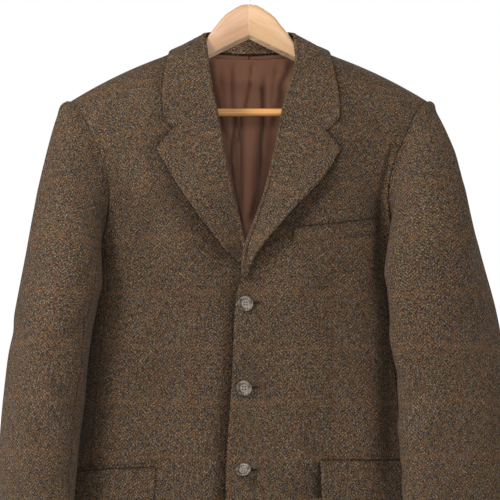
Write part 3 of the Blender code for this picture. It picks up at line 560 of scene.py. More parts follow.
# %% Table of the collar
FOLD_WIDTH = 0.0064  # across the roll, from one face of the cloth to the other
FOLD_DROP = 0.0022  # from the top of the roll to its sides
FLAT_DROP = 0.0009  # the same on the leaf's side where the roll lies on the front
INSIDE_SET = 0.0008  # a lapel's inner edge goes this much further in than the collar's
INSIDE_RISE = 0.0005  # height of the collar's inner edge above the neck seam
INSIDE_DROP = -0.002  # and of a lapel's inner edge above the front's edge
ROLL_HEIGHT = 0.0046  # of a lapel's roll above the front that it lies on
COLLAR = (
    # neck_x, fold_x, fold_y, fold_z, leaf_x, leaf_z, lean (0 stands up, 1 lies on the front)
    (0.0, 0.0, 0.046, -0.103, 0.0, -0.153, 0),
    (0.02, 0.019, 0.0445, -0.103, 0.029, -0.152, 0),
    (0.04, 0.035, 0.0375, -0.1032, 0.056, -0.149, 0),
    (0.057, 0.047, 0.027, -0.1036, 0.078, -0.144, 0),
    (0.069, 0.0545, 0.014, -0.1042, 0.093, -0.1375, 0.05),
)
COLLAR_FRONT = {
    1: (
        # fold_x, fold_y, fold_z, leaf_x, leaf_z, lean
        (0.059, -0.001, -0.1055, 0.103, 0, 0.15),
        (0.0605, -0.014, -0.11, 0.1065, -0.147, 0.4),
        (0.061, -0.0265, -0.121, 0.11, -0.161, 0.7),
        (0.0621, 0, -0.141, 0.1135, -0.176, 1),
        (0.0577, 0, -0.16, 0.1155, -0.193, 1),
    ),
    -1: (
        (0.0585, -0.001, -0.1055, 0.102, 0, 0.15),
        (0.059, -0.014, -0.11, 0.105, -0.147, 0.4),
        (0.057, -0.0265, -0.121, 0.108, -0.161, 0.7),
        (0.0545, 0, -0.141, 0.11, -0.176, 1),
        (0.052, 0, -0.16, 0.1105, -0.192, 1),
    ),
}

# %% Table of the lapels
LAPEL_EDGE = {
    1: (
        # x, z from the lapel's tip down to the break
        (0.1178, -0.253),
        (0.0955, -0.2905),
        (0.0765, -0.309),
        (0.053, -0.3323),
        (0.0351, -0.3541),
        (0.0179, -0.3725),
        (0.0085, -0.387),
        (0.0018, -0.4),
        (-0.0058, -0.417),
    ),
    -1: (
        (0.1184, -0.253),
        (0.0981, -0.2873),
        (0.0826, -0.3106),
        (0.0669, -0.3339),
        (0.0515, -0.3556),
        (0.0344, -0.3774),
        (0.0205, -0.3912),
        (0.006, -0.404),
    ),
}
LAPEL_END_Z = {1: -0.4165, -1: -0.4035}  # the roll line's lowest point that the lapel covers
GORGE = {
    # the seam between collar and lapel: its notch corner and the two points beside the notch
    1: {"corner": (0.0973, -0.2299), "collar_tip": (0.116, -0.214), "lapel_tip": (0.1178, -0.253)},
    -1: {"corner": (0.096, -0.226), "collar_tip": (0.1088, -0.212), "lapel_tip": (0.1184, -0.253)},
}
FACING_TOP_Z = -0.141  # the collar's front faces as the cloth does below this height
GORGE_ROW = 5  # row from the top of FRONT_ROWS where the gorge meets the roll
LAPEL_ROWS = 13
RIDGE_LIFT = 0.0036  # the collar's leaf stands this much higher over the shoulder line
RIDGE_WIDTH = 0.035  # before and behind the shoulder line
LEAF_STEPS = (0.18, 0.4, 0.62, 0.81, 1)  # across a leaf from its roll to its edge
GORGE_STEPS = (0.22, 0.48, 0.74, 1)  # along the gorge from the roll to the notch's corner
LAPEL_FLARE = 0.015  # the lapel's edge springs off the chest by this along its lower half

# %% Sections over the roll
def roll_section(edge, fold, way, up, lean):
    """Points from inside the neck round the fold: way leads off to the leaf, up to the fold."""
    inside = edge - way * (WALL + INSIDE_SET * lean) + up * mix(INSIDE_RISE, INSIDE_DROP, lean)
    fold_in = fold - way * FOLD_WIDTH / 2 - up * FOLD_DROP
    fold_out = fold + way * FOLD_WIDTH / 2 - up * mix(FOLD_DROP, FLAT_DROP, lean)
    return [inside, fold_in, fold, fold_out]


def leaf_points(side, start, end, steps, swell=0.0, over_ridge=0.0):
    """Points from the roll to the leaf's edge, kept clear of the torso."""
    points = []
    for share in steps:
        point = start.lerp(end, share)
        lift = WALL + LEAF_LAY + swell * share * share + over_ridge * bump(point.y, RIDGE_WIDTH)
        points.append(lifted(point, side, lift))
    return points


def flat_roll(side, x, z, edge_x, edge_z, steps, swell=0.0):
    """A section that lies on the front, from the roll line's point to the leaf's edge."""
    base, out = front_cloth(side, x, z)
    ahead = front_cloth(side, mix(x, edge_x, 0.2), mix(z, edge_z, 0.2))[0]
    way = ahead - base
    way = (way - out * way.dot(out)).normalized()
    fold = base + way * FOLD_WIDTH / 2 + out * ROLL_HEIGHT
    points = roll_section(base + way * EDGE_TUCK, fold, way, out, 1)
    end = on_front(side, edge_x, edge_z, WALL + LEAF_LAY + swell)
    return points + leaf_points(side, points[-1], end, steps, swell)


def gorge_section(side):
    """The seam where collar and lapel meet."""
    row = FRONT_ROWS[-1 - GORGE_ROW]
    return flat_roll(side, row[1 if side == 1 else 2], row[0], *GORGE[side]["corner"], GORGE_STEPS)


# %% Collar and lapel grids
def collar_ends(side):
    """For each section of half a collar: the neck edge, the fold, the leaf's edge and the lean."""
    rows = []
    for neck_x, x, y, z, leaf_x, leaf_z, lean in COLLAR:
        edge = cloth(side, turn_at(neck_x, neck_line(neck_x), 1), neck_line(neck_x))[0]
        base, out = cloth(side, turn_at(leaf_x, leaf_z, 1), leaf_z)
        rows.append((edge, Vector((side * x, y, z)), base + out * (WALL + LEAF_LAY), lean))
    edges = [row[0][0] for row in reversed(front_grid(side))]
    for edge, (x, y, z, leaf_x, leaf_z, lean) in zip(edges, COLLAR_FRONT[side]):
        fold = Vector((side * x, y, z)) if y else on_front(side, x, z, ROLL_HEIGHT)
        end = on_front(side, leaf_x, leaf_z or ridge(leaf_x), WALL + LEAF_LAY)
        rows.append((edge, fold, end, lean))
    return rows


def collar_sections(side):
    """Sections from the centre back to the last one before the gorge."""
    ends = collar_ends(side)
    folds = [fold for edge, fold, end, lean in ends]
    folds = [Vector((-folds[1].x, folds[1].y, folds[1].z))] + folds + [gorge_section(side)[2]]
    sections = []
    for index, (edge, fold, end, lean) in enumerate(ends):
        run = (folds[index + 2] - folds[index]).normalized()
        out = front_cloth(side, abs(fold.x), min(fold.z, FACING_TOP_Z))[1]
        up = (UP * (1 - lean) + out * lean).normalized()
        way = up.cross(run).normalized() * side
        up = (run.cross(way) * side).normalized()
        points = roll_section(edge, fold, way, up, lean)
        sections.append(points + leaf_points(side, points[-1], end, LEAF_STEPS, 0.0, RIDGE_LIFT))
    return sections


def collar_rows():
    """The collar's points, from the inside edge to the leaf's edge and from right to left."""
    columns = collar_sections(-1)[:0:-1] + collar_sections(1)
    ends = {}
    for side in (-1, 1):
        tip, out = front_cloth(side, *GORGE[side]["collar_tip"])
        ends[side] = gorge_section(side) + [tip + out * (WALL + LEAF_LAY)]
    return [list(row) for row in zip(*([ends[-1]] + columns + [ends[1]]))]


def lapel_rows(side):
    """The lapel's sections from the gorge down to the break."""
    roll = [(row[0], row[1] if side == 1 else row[2]) for row in FRONT_ROWS]
    top_z = FRONT_ROWS[-1 - GORGE_ROW][0]
    tip, out = front_cloth(side, *GORGE[side]["lapel_tip"])
    sections = [gorge_section(side) + [tip + out * (WALL + LEAF_LAY)]]
    for index in range(1, LAPEL_ROWS):
        share = index / (LAPEL_ROWS - 1)
        z = mix(top_z, LAPEL_END_Z[side], share)
        edge_x, _, edge_z = along([(x, 0, z) for x, z in LAPEL_EDGE[side]], share)
        swell = LAPEL_FLARE * mix(0.16, 1, ease((share - 0.15) / 0.35)) * ease((1.0 - share) / 0.22)
        sections.append(flat_roll(side, read_row(roll, z)[0], z, edge_x, edge_z, LEAF_STEPS, swell))
    return sections


print("collar:", len(collar_rows()), "rows, lapel:", len(lapel_rows(1)), "sections")

# %% [markdown]
# ## From a coarse grid to smooth cloth
#
# The grids above are the CAD model's own, a few hundred points each. Cloth needs thousands.
# A subdivision surface would shrink the edges away from the seams, so a Catmull-Rom curve goes
# through the points instead, once along the rows and once across them: it keeps every point.

# %% Curves through rows of numbers
def thread_through(values, at, closed=False):
    """A smooth curve through the rows of an array, read at fractional row numbers."""
    count = len(values)
    at = np.asarray(at, dtype=float)
    low = np.floor(at).astype(int)
    if closed:
        rows = [values[(low + step) % count] for step in (-1, 0, 1, 2)]
    else:
        low = np.clip(low, 0, count - 2)
        first = 2 * values[:1] - values[1:2]
        last = 2 * values[-1:] - values[-2:-1]
        longer = np.concatenate([first, values, last])
        rows = [longer[low + step] for step in (0, 1, 2, 3)]
    share = (at - low).reshape(-1, *[1] * (values.ndim - 1))
    before, start, end, after = rows
    curve = 2 * start + (end - before) * share
    curve += (2 * before - 5 * start + 4 * end - after) * share**2
    curve += (3 * start - before - 3 * end + after) * share**3
    return curve / 2


EDGE_STEPS = (0.05, 0.13, 0.25)  # extra rows beside an edge, so that it can roll in


def steps(count, between):
    """Fractional row numbers from the first row to the last."""
    at = list(np.linspace(0, count - 1, (count - 1) * between + 1))
    at += EDGE_STEPS
    at += [count - 1 - step for step in EDGE_STEPS]
    return sorted(set(round(value, 4) for value in at))


def as_grid(rows):
    """An array of points from rows of vectors, or of pairs of a vector and its normal."""
    return np.array([[tuple(p[0] if isinstance(p, tuple) else p) for p in row] for row in rows])


print("rows for a front:", len(steps(len(FRONT_ROWS), 6)))

# %% [markdown]
# ## Grain
#
# Herringbone only looks woven if it follows the threads, so every piece carries a map of
# its cloth in metres: u across the threads, v along them. A tape gives a first map from arc
# lengths. A collar or a sleeve head is round both ways, so that map is then eased like cloth
# on a table, where every small edge and diagonal goes back to its own length.

# %% Tape measure
def run_lengths(grid, axis):
    """Lengths from the first point along rows (axis 1) or columns (axis 0)."""
    spans = np.linalg.norm(np.diff(grid, axis=axis), axis=2)
    zero = np.zeros_like(spans[:, :1] if axis else spans[:1])
    return np.concatenate([zero, np.cumsum(spans, axis=axis)], axis=axis)


# %% The cutting table
EASINGS = 900  # rounds of easing, enough for the long curved collar
EASE_STEP = 0.3  # share of its pulls that a point follows in one round
LINKS = ((0, 1), (1, 0), (1, 1), (1, -1))  # rows and columns to the neighbours that it uses


def neighbours(values, link):
    """Two views of an array: each point, and its neighbour along a link."""
    rows, columns = link
    low, high = max(0, -columns), max(0, columns)
    starts = values[: len(values) - rows, low : values.shape[1] - high]
    return starts, values[rows:, high : values.shape[1] - low]


def lay_flat(grid, middle=0, at=(0.0, 0.0)):
    """Across and along the threads, in metres; the middle column is the straight grain."""
    across = run_lengths(grid, 1)
    flat = np.stack([across - across[:, middle : middle + 1], run_lengths(grid, 0)], axis=2)
    rests = [np.linalg.norm(np.subtract(*neighbours(grid, link)), axis=2) for link in LINKS]
    for _ in range(EASINGS):
        moves = np.zeros_like(flat)
        for link, rest in zip(LINKS, rests):
            start, end = neighbours(flat, link)
            gap = end - start
            length = np.maximum(np.linalg.norm(gap, axis=2), 1e-9)
            pull = gap * ((length - rest) / length / 2)[..., None]
            low, high = neighbours(moves, link)
            low += pull
            high -= pull
        flat += moves * EASE_STEP
    run = flat[-1, middle] - flat[0, middle]
    run /= np.linalg.norm(run)
    turned = flat - flat[0, middle]
    return np.stack([turned @ (run[1], -run[0]), turned @ run], axis=2) + at


flat_front = lay_flat(as_grid(front_grid(1)), 0, (0.0, HEM_Z))
print("a front is cut", np.ptp(flat_front.reshape(-1, 2), axis=0).round(3), "m")

# %% [markdown]
# ## Creases
#
# The cloth hangs from the shoulders and the buttons, and shows soft troughs where it is
# drawn or pushed together. A simulation would give others each time the pattern changed, so
# they are listed: each is a short stroke with a width and a depth, uneven in both.
# One function moves every piece that lies on the torso, and so pockets follow the fronts.

# %% Strokes in the cloth
CREASES = (
    # face, x, z, end_x, end_z, half_width, depth
    (-1, -0.119, -0.47, -0.124, -0.65, 0.002, -0.0012),
    (-1, 0.109, -0.447, 0.109, -0.626, 0.002, -0.0012),
    (-1, 0.04, -0.47, 0.15, -0.4, 0.01, -0.0022),
    (-1, 0.03, -0.5, 0.12, -0.56, 0.012, -0.002),
    (-1, -0.03, -0.48, -0.15, -0.42, 0.011, -0.0024),
    (-1, -0.04, -0.52, -0.14, -0.59, 0.013, -0.002),
    (-1, -0.06, -0.6, -0.075, -0.86, 0.02, 0.0028),
    (-1, 0.06, -0.62, 0.072, -0.87, 0.018, 0.0026),
    (-1, -0.1, -0.68, -0.11, -0.88, 0.016, -0.0026),
    (-1, 0.105, -0.7, 0.098, -0.88, 0.015, -0.0024),
    (-1, 0.188, -0.25, 0.17, -0.345, 0.0075, -0.006),
    (-1, 0.172, -0.33, 0.17, -0.44, 0.008, -0.005),
    (-1, 0.18, -0.34, 0.19, -0.72, 0.015, -0.0085),
    (-1, -0.186, -0.25, -0.174, -0.335, 0.008, -0.0045),
    (-1, -0.19, -0.45, -0.186, -0.64, 0.022, 0.0022),
    (-1, -0.15, -0.3, -0.176, -0.37, 0.012, -0.0024),
    (-1, -0.135, -0.34, -0.188, -0.42, 0.011, 0.0024),
    (-1, 0.15, -0.29, 0.182, -0.35, 0.012, -0.003),
    (-1, 0.12, -0.3, 0.176, -0.33, 0.01, 0.0018),
    (-1, -0.175, -0.2, -0.14, -0.3, 0.014, -0.0024),
    (-1, 0.18, -0.195, 0.15, -0.29, 0.014, -0.0022),
    (-1, -0.13, -0.16, -0.11, -0.26, 0.018, 0.0016),
    (-1, 0.14, -0.16, 0.118, -0.24, 0.018, 0.0014),
    (1, 0.1, -0.15, 0.14, -0.28, 0.016, -0.0028),
    (1, -0.105, -0.155, -0.15, -0.3, 0.015, -0.003),
    (1, 0.17, -0.29, 0.11, -0.42, 0.014, -0.0034),
    (1, -0.175, -0.3, -0.12, -0.4, 0.013, -0.0034),
    (1, -0.02, -0.165, 0.075, -0.172, 0.008, -0.0016),
    (1, -0.08, -0.176, 0.01, -0.182, 0.009, 0.0014),
    (1, 0.02, -0.44, 0.13, -0.48, 0.014, -0.0022),
    (1, -0.03, -0.47, -0.14, -0.52, 0.015, -0.0026),
    (1, 0.08, -0.6, 0.092, -0.88, 0.018, 0.0034),
    (1, -0.088, -0.58, -0.1, -0.88, 0.02, 0.0034),
    (1, -0.03, -0.62, -0.026, -0.89, 0.014, -0.003),
    (1, 0.14, -0.56, 0.15, -0.88, 0.015, -0.0034),
)
RIPPLES = (
    # across, along, phase, depth: long soft waves that no cloth is free of
    (46.0, 17.0, 0.4, 0.00045),
    (-31.0, 39.0, 2.1, 0.0005),
    (73.0, -28.0, 4.4, 0.00025),
    (18.0, 83.0, 1.2, 0.00022),
)


SHOULDER_CALM = 0.05  # creases fade out over this height below the shoulder line
ARMHOLE_CALM = 0.01  # and over this distance beside an armhole's seam
FACE_BLEND = 0.04  # depth over which the front's strokes give way to the back's
ROUNDNESS = (0.0484, 0.009)  # squares of the torso's half width and half depth


def smooth(share):
    share = np.clip(share, 0, 1)
    return share * share * (3 - 2 * share)


def stroke_depth(across, up, strokes):
    """The depth that strokes give at places with two coordinates."""
    depth = np.zeros_like(across)
    for x, z, end_x, end_z, half_width, height in strokes:
        run = np.array([end_x - x, end_z - z])
        share = ((across - x) * run[0] + (up - z) * run[1]) / (run @ run)
        held = np.clip(share, 0, 1)
        away = np.hypot(across - x - held * run[0], up - z - held * run[1])
        wide = half_width * (0.75 + 0.5 * held)  # a stroke widens as it goes
        start, end = smooth(4 * held + 0.3), smooth(3 - 3 * held + 0.2)
        depth += height * np.exp(-((away / wide) ** 2)) * start * end
    return depth


def armhole_line(side):
    """An armhole's seam as a closed row of close points."""
    loop = np.array([tuple(point) for point, _ in armhole(side)])
    return thread_through(loop, np.arange(0, len(loop), 0.25), True)


ARMHOLES = np.concatenate([armhole_line(side) for side in (-1, 1)])


def armhole_calm(grid):
    """0 on an armhole's seam, 1 away from it: a seam holds the cloth still."""
    away = np.full(grid.shape[:2], 1.0)
    for point in ARMHOLES:
        away = np.minimum(away, np.linalg.norm(grid - point, axis=2))
    return smooth(away / ARMHOLE_CALM)


def creased(grid, amount=1.0):
    """Moves points that lie on the torso out or in, as the creases say."""
    x, y, z = np.moveaxis(grid, 2, 0)
    waves = sum(deep * np.sin(a * x + b * z + phase) for a, b, phase, deep in RIPPLES)
    front = stroke_depth(x, z, [row[1:] for row in CREASES if row[0] == -1])
    back = stroke_depth(x, z, [row[1:] for row in CREASES if row[0] == 1])
    facing = smooth(0.5 - y / FACE_BLEND)
    below = ridge(x) - z
    depth = (front * facing + back * (1 - facing) + waves) * smooth(below / SHOULDER_CALM) * amount
    depth *= armhole_calm(grid)
    out = np.stack([x / ROUNDNESS[0], y / ROUNDNESS[1], np.zeros_like(x)], axis=2)
    out /= np.maximum(np.linalg.norm(out, axis=2, keepdims=True), 1e-6)
    return grid + out * depth[..., None]


print("creases:", len(CREASES), "and", len(RIPPLES), "ripples")

# %% [markdown]
# ## Sewn shells
#
# Each piece becomes a closed wall as thick as its cloth. A sewn edge turns in over the seam
# and makes a fine groove with its neighbour; the edge of a lapel or a hem is simply round.
# Both come from drawing the outermost few millimetres in.

# %% Normals and rolled edges
def facing_out(grid, side):
    """The direction that each point of a grid faces, turned to one side."""
    across = np.gradient(grid, axis=1)
    up = np.gradient(grid, axis=0)
    normal = np.cross(across, up) * side
    return normal / np.maximum(np.linalg.norm(normal, axis=2, keepdims=True), 1e-12)


ROLL_REACH = 0.0032  # the width of cloth that an edge draws in
ROLL_DEPTH = 0.0011  # and how far it goes at the very edge


def roll_edges(grid, normals, edges, sewn):
    """Draws the named edges in and measures how far each point lies from a sewn one.

    Edges b and t are the first and last row, l and r the first and last column.
    """
    rows = run_lengths(grid, 0)
    columns = run_lengths(grid, 1)
    away = {"b": rows, "t": rows[-1:] - rows, "l": columns, "r": columns[:, -1:] - columns}
    far = [np.ones_like(rows)]
    to_edge = np.min(far + [away[edge] for edge in edges], axis=0)
    to_seam = np.min(far + [away[edge] for edge in sewn], axis=0)
    drop = ROLL_DEPTH * np.clip(1 - to_edge / ROLL_REACH, 0, 1) ** 2
    return grid - normals * drop[..., None], to_seam


# %% Closed walls of cloth
def cloth_mesh(name, grid, normals, grain, seams, thickness, lined_from):
    """A mesh with an outer and an inner face and a rim; columns from lined_from on are lined."""
    rows, columns = grid.shape[:2]
    index = np.arange(rows * columns).reshape(rows, columns)
    quads = np.stack([index[:-1, :-1], index[:-1, 1:], index[1:, 1:], index[1:, :-1]], axis=2)
    outer = quads.reshape(-1, 4)
    rim = np.concatenate([index[0], index[1:, -1], index[-1, -2::-1], index[-2:0:-1, 0]])
    after = np.roll(rim, -1)
    count = rows * columns
    sides = np.stack([after, rim, rim + count, after + count], axis=1)
    faces = np.concatenate([outer, outer[:, ::-1] + count, sides])
    points = np.concatenate([grid.reshape(-1, 3), (grid - normals * thickness).reshape(-1, 3)])
    mesh = bpy.data.meshes.new(name)
    mesh.from_pydata(points.tolist(), [], faces.tolist())
    lined = np.zeros(len(faces), dtype=np.int32)
    inner_columns = np.tile(np.arange(columns - 1), rows - 1)
    lined[len(outer) : 2 * len(outer)] = inner_columns >= lined_from
    mesh.polygons.foreach_set("material_index", lined)
    corners = np.zeros(len(mesh.loops), dtype=np.int32)
    mesh.loops.foreach_get("vertex_index", corners)
    for layer_name, values in (("grain", grain), ("seams", seams)):
        layer = mesh.uv_layers.new(name=layer_name)
        layer.data.foreach_set("uv", values.reshape(-1, 2)[corners % count].ravel())
    return mesh


def ring_mesh(name, rings, closed=False):
    """A mesh through rings of points: closed on itself, or capped at both ends."""
    rings = np.asarray(rings)
    index = np.arange(rings.shape[0] * rings.shape[1]).reshape(rings.shape[:2])
    caps = [] if closed else [index[0].tolist(), index[-1][::-1].tolist()]
    if closed:
        index = np.concatenate([index, index[:1]])
    after = np.roll(index, -1, axis=1)
    quads = np.stack([index[:-1], index[1:], after[1:], after[:-1]], axis=2).reshape(-1, 4)
    mesh = bpy.data.meshes.new(name)
    mesh.from_pydata(rings.reshape(-1, 3).tolist(), [], quads.tolist() + caps)
    return mesh


def face_out(mesh):
    """Turns every face of a closed mesh outwards."""
    shape = bmesh.new()
    shape.from_mesh(mesh)
    bmesh.ops.recalc_face_normals(shape, faces=shape.faces)
    shape.to_mesh(mesh)
    shape.free()


def add_piece(name, mesh, materials, slot, *nodes, sharp=50):
    """Links a mesh, gives it its finishes and lets it stand for CAD nodes."""
    face_out(mesh)
    mesh.shade_smooth()
    mesh.set_sharp_from_angle(angle=math.radians(sharp))
    piece = bpy.data.objects.new(name, mesh)
    bpy.context.collection.objects.link(piece)
    for material in materials:
        mesh.materials.append(material)
    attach(piece, "root")
    if nodes:
        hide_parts(*nodes)
    return piece


CUT_SPARE = 1.02  # a cut's area is at least this many times its cloth's


def seams_only(grid, to_seam):
    return to_seam, np.ones_like(to_seam)


def add_cloth(
    node, grid, grain, side, edges, finishes,
    sewn="", maps=seams_only, thickness=WALL, slot="tweed", lined_from=0,
):
    """Sews the piece that stands for a CAD node and says how large it was cut.

    Maps gives two distances for every point, which the finishes turn into painted shade: to a seam,
    and out from under another piece.
    """
    normals = facing_out(grid, side)
    grid, to_seam = roll_edges(grid, normals, edges, sewn)
    seams = np.stack(maps(grid, to_seam), axis=2)
    mesh = cloth_mesh(f"{node}_cloth", grid, normals, grain, seams, thickness, lined_from)
    piece = add_piece(mesh.name, mesh, finishes, slot, node)
    area = sum(face.area for face in mesh.polygons) / 2
    width, length = (float(np.ptp(grain[..., axis])) for axis in (0, 1))
    width = max(width, area / length * CUT_SPARE)
    print(f"{node}: cut {width:.3f} x {length:.3f} m, {len(mesh.polygons)} faces")


# %% [markdown]
# ## Writing shaders as sums
#
# A weave is arithmetic on the grain map. Nodes placed one by one hide that, so a small class
# stands for a socket and takes part in Python expressions. Each expression adds Math nodes.

# %% Sockets that add up
class Value:
    """An output socket that can be added, multiplied and compared."""

    def __init__(self, finish, socket):
        self.finish = finish
        self.socket = socket

    def math(self, operation, *others):
        inputs = dict(enumerate((self, *others)))
        return self.finish.node("ShaderNodeMath", {"operation": operation}, inputs)

    def share(self, whole):
        """How much of a whole this is, from 0 to 1."""
        settings = {"operation": "DIVIDE", "use_clamp": True}
        return self.finish.node("ShaderNodeMath", settings, {0: self, 1: whole})

    def __add__(self, other):
        return self.math("ADD", other)

    def __sub__(self, other):
        return self.math("SUBTRACT", other)

    def __rsub__(self, other):
        return self.finish.node("ShaderNodeMath", {"operation": "SUBTRACT"}, {0: other, 1: self})

    def __mul__(self, other):
        return self.math("MULTIPLY", other)

    def __truediv__(self, other):
        return self.math("DIVIDE", other)

    __radd__ = __add__
    __rmul__ = __mul__


# %% A finish and its nodes
class Finish:
    """A material whose nodes come from one method."""

    def __init__(self, name, **constants):
        self.material = bpy.data.materials.new(name)
        self.material.use_nodes = True
        self.nodes = self.material.node_tree.nodes
        self.links = self.material.node_tree.links
        self.surface = self.nodes["Principled BSDF"]
        for socket, value in constants.items():
            self.surface.inputs[socket.replace("_", " ")].default_value = value

    def node(self, kind, settings=(), inputs=(), output=0):
        """Adds a node: its settings first, then the values or links of its sockets."""
        made = self.nodes.new(kind)
        for name, value in dict(settings).items():
            if name == "stops":
                while len(made.color_ramp.elements) < len(value):
                    made.color_ramp.elements.new(1)
                for element, (position, colour) in zip(made.color_ramp.elements, value):
                    element.position = position
                    element.color = (*colour, 1)
            elif name == "interpolation":
                made.color_ramp.interpolation = value
            else:
                setattr(made, name, value)
        for name, value in dict(inputs).items():
            if isinstance(value, Value):
                self.links.new(value.socket, made.inputs[name])
            else:
                made.inputs[name].default_value = value
        return Value(self, made.outputs[output])

    def blend(self, factor, low, high, way="MIX"):
        """One colour mixed into another."""
        colours = {0: factor, 6: low, 7: high}
        return self.node("ShaderNodeMix", {"data_type": "RGBA", "blend_type": way}, colours, 2)

    def uv(self, name):
        """The two values of a map on the cloth."""
        both = self.node("ShaderNodeUVMap", {"uv_map": name})
        return both, *self.two(both)

    def two(self, place):
        """The first two values of a place."""
        return (self.node("ShaderNodeSeparateXYZ", (), {0: place}, output) for output in (0, 1))

    def place(self):
        """Where a point lies, in the piece's own metres."""
        return self.node("ShaderNodeTexCoord", output=3)

    def noise(self, place, scale, detail, **others):
        inputs = {"Vector": place, "Scale": scale, "Detail": detail, **others}
        return self.node("ShaderNodeTexNoise", (), inputs)

    def stretch(self, place, scales):
        settings = {"operation": "MULTIPLY"}
        return self.node("ShaderNodeVectorMath", settings, {0: place, 1: scales})

    def grey(self, value):
        return self.node("ShaderNodeCombineColor", (), {0: value, 1: value, 2: value})

    def feed(self, socket, value):
        self.links.new(value.socket, self.surface.inputs[socket])

    def bump(self, height, strength, distance):
        inputs = {"Height": height, "Strength": strength, "Distance": distance}
        self.feed("Normal", self.node("ShaderNodeBump", (), inputs))


# %% [markdown]
# ## Tweed
#
# This tweed is a broken herringbone: ribs about a centimetre wide in which the twill climbs
# one way and then the other. Its yarns are spun from wool of many colours, so from near it is
# a mosaic of ochre, rust, blue-grey and olive on dark brown. Cells laid along the twill
# give each stretch of yarn its colour, and a sine across the twill gives the relief.

# %% Wool colours
WOOL = (
    # share where the colour starts, colour
    (0.0, (0.013, 0.011, 0.011)),
    (0.13, (0.028, 0.019, 0.014)),
    (0.3, (0.047, 0.03, 0.017)),
    (0.48, (0.071, 0.047, 0.027)),
    (0.63, (0.105, 0.071, 0.039)),
    (0.74, (0.038, 0.043, 0.052)),
    (0.8, (0.062, 0.049, 0.023)),
    (0.85, (0.158, 0.091, 0.031)),
    (0.905, (0.132, 0.045, 0.017)),
    (0.94, (0.146, 0.123, 0.097)),
    (0.97, (0.086, 0.098, 0.113)),
    (0.985, (0.099, 0.019, 0.016)),
)
RIB = 0.0115  # width of one way of the herringbone
TWILL = 0.0046  # along the threads from one twill line to the next
YARN = (0.00092, 0.0015)  # size of a fleck across and along the twill
WANDER = 0.0012  # how far a yarn strays along the cloth
CHECK = 0.02305  # half the distance between the overcheck's red lines
CHECK_START = 0.7  # of CHECK, how far the lines are set to one side
CHECK_LINE = 0.0015  # half width of a red line
BAND = 0.03475  # half the distance between its rust bands
BAND_START = 0.69  # of BAND, how far down the bands are set
BAND_LINE = 0.006  # half width of a rust band
RED = (0.15, 0.03, 0.022, 1)
RUST = (0.15, 0.066, 0.026, 1)
SEAM_SHADE_REACH = 0.0034  # painted shade darkens a seam over this width
SHADE_CLOSE = 0.005  # beside a piece that lies on top the shade is dark over this width
SHADE_WIDE = 0.028  # and soft over this one
PALEST = 3.5  # where a distance from under a piece is past 1, painted light makes the wool paler by the rest
TURN = 2 * math.pi


# %% The weave
def tweed(name):
    """Wool tweed on the grain map: painted shade at seams and under other pieces, painted light on
    the stand.
    """
    gloss = {"Sheen_Weight": 0.02, "Sheen_Roughness": 0.5, "Specular_IOR_Level": 0.05}
    wool = Finish(name, Roughness=0.95, **gloss)
    grain, across, up = wool.uv("grain")
    wander = wool.noise(grain, 60.0, 2.0)
    up_waved = up + wander * WANDER
    climb = across.math("PINGPONG", RIB)
    rib = (across / RIB).math("FLOOR")
    line = (up_waved + climb) / TWILL + rib * 0.5
    relief = (line * TURN).math("SINE") * 0.5 + 0.5
    down_twill = (up_waved + climb) / YARN[0] + rib * 17.3
    along_twill = (up_waved - climb) / YARN[1] + rib * 5.7
    spread = {"X": down_twill, "Y": along_twill, "Z": 0.0}
    cells = wool.node("ShaderNodeCombineXYZ", (), spread)
    flat = {"voronoi_dimensions": "2D"}
    fleck = wool.node("ShaderNodeTexVoronoi", flat, {"Vector": cells, "Scale": 1.0}, 1)
    chance = wool.node("ShaderNodeSeparateColor", (), {0: fleck})
    second = wool.node("ShaderNodeSeparateColor", (), {0: fleck}, 1)
    ramp = {"stops": WOOL, "interpolation": "CONSTANT"}
    colour = wool.node("ShaderNodeValToRGB", ramp, {0: chance})
    from_line = (across + CHECK * CHECK_START).math("PINGPONG", CHECK) / CHECK_LINE
    red = (1 - from_line.math("MINIMUM", 1.0)) * second.math("GREATER_THAN", 0.55)
    colour = wool.blend(red * 0.38, colour, RED)
    from_band = (up + BAND * BAND_START).math("PINGPONG", BAND) / BAND_LINE
    rust = (1 - from_band.math("MINIMUM", 1.0)) * second.math("GREATER_THAN", 0.4)
    colour = wool.blend(rust * 0.23, colour, RUST)
    cloud = wool.noise(grain, 14.0, 3.0)
    _, seam, over = wool.uv("seams")
    # painted shade: darker in the crease of each sewn seam
    seam_painted_shade = seam.share(SEAM_SHADE_REACH) * 0.32 + 0.68
    # painted shadow: darker beside a lapel, the collar, the overlapping front or a flap on top
    contact_painted_shade = (over.share(SHADE_CLOSE) * 0.52 + 0.48) * (over.share(SHADE_WIDE) * 0.26 + 0.74)
    # painted light: the inside of the collar's stand, in shade under the hanger, made paler
    paler = (over - 1.0).share(PALEST) * PALEST + 1.0
    # the relief also darkens the twill's valleys in the colour: painted shade of the weave, besides
    # its bump
    light = (relief * 0.46 + 0.78) * (cloud * 0.34 + 0.83) * (second * 0.8 + 0.61)
    light = light * seam_painted_shade * contact_painted_shade * paler
    wool.feed("Base Color", wool.blend(1.0, colour, wool.grey(light), "MULTIPLY"))
    nap = wool.noise(grain, 900.0, 2.0)
    wool.bump(relief * 0.6 + second * 0.5 + nap * 0.5, 0.55, 0.0007)
    return wool.material


TWEED = tweed("herringbone_tweed")
print("tweed nodes:", len(TWEED.node_tree.nodes))

# %% [markdown]
# ## Satin lining
#
# Lining is a smooth brown satin. It has no pattern to speak of: it shows by its gloss, which
# runs down every fold, so it gets a lower roughness, a fine warp line and a little sheen.

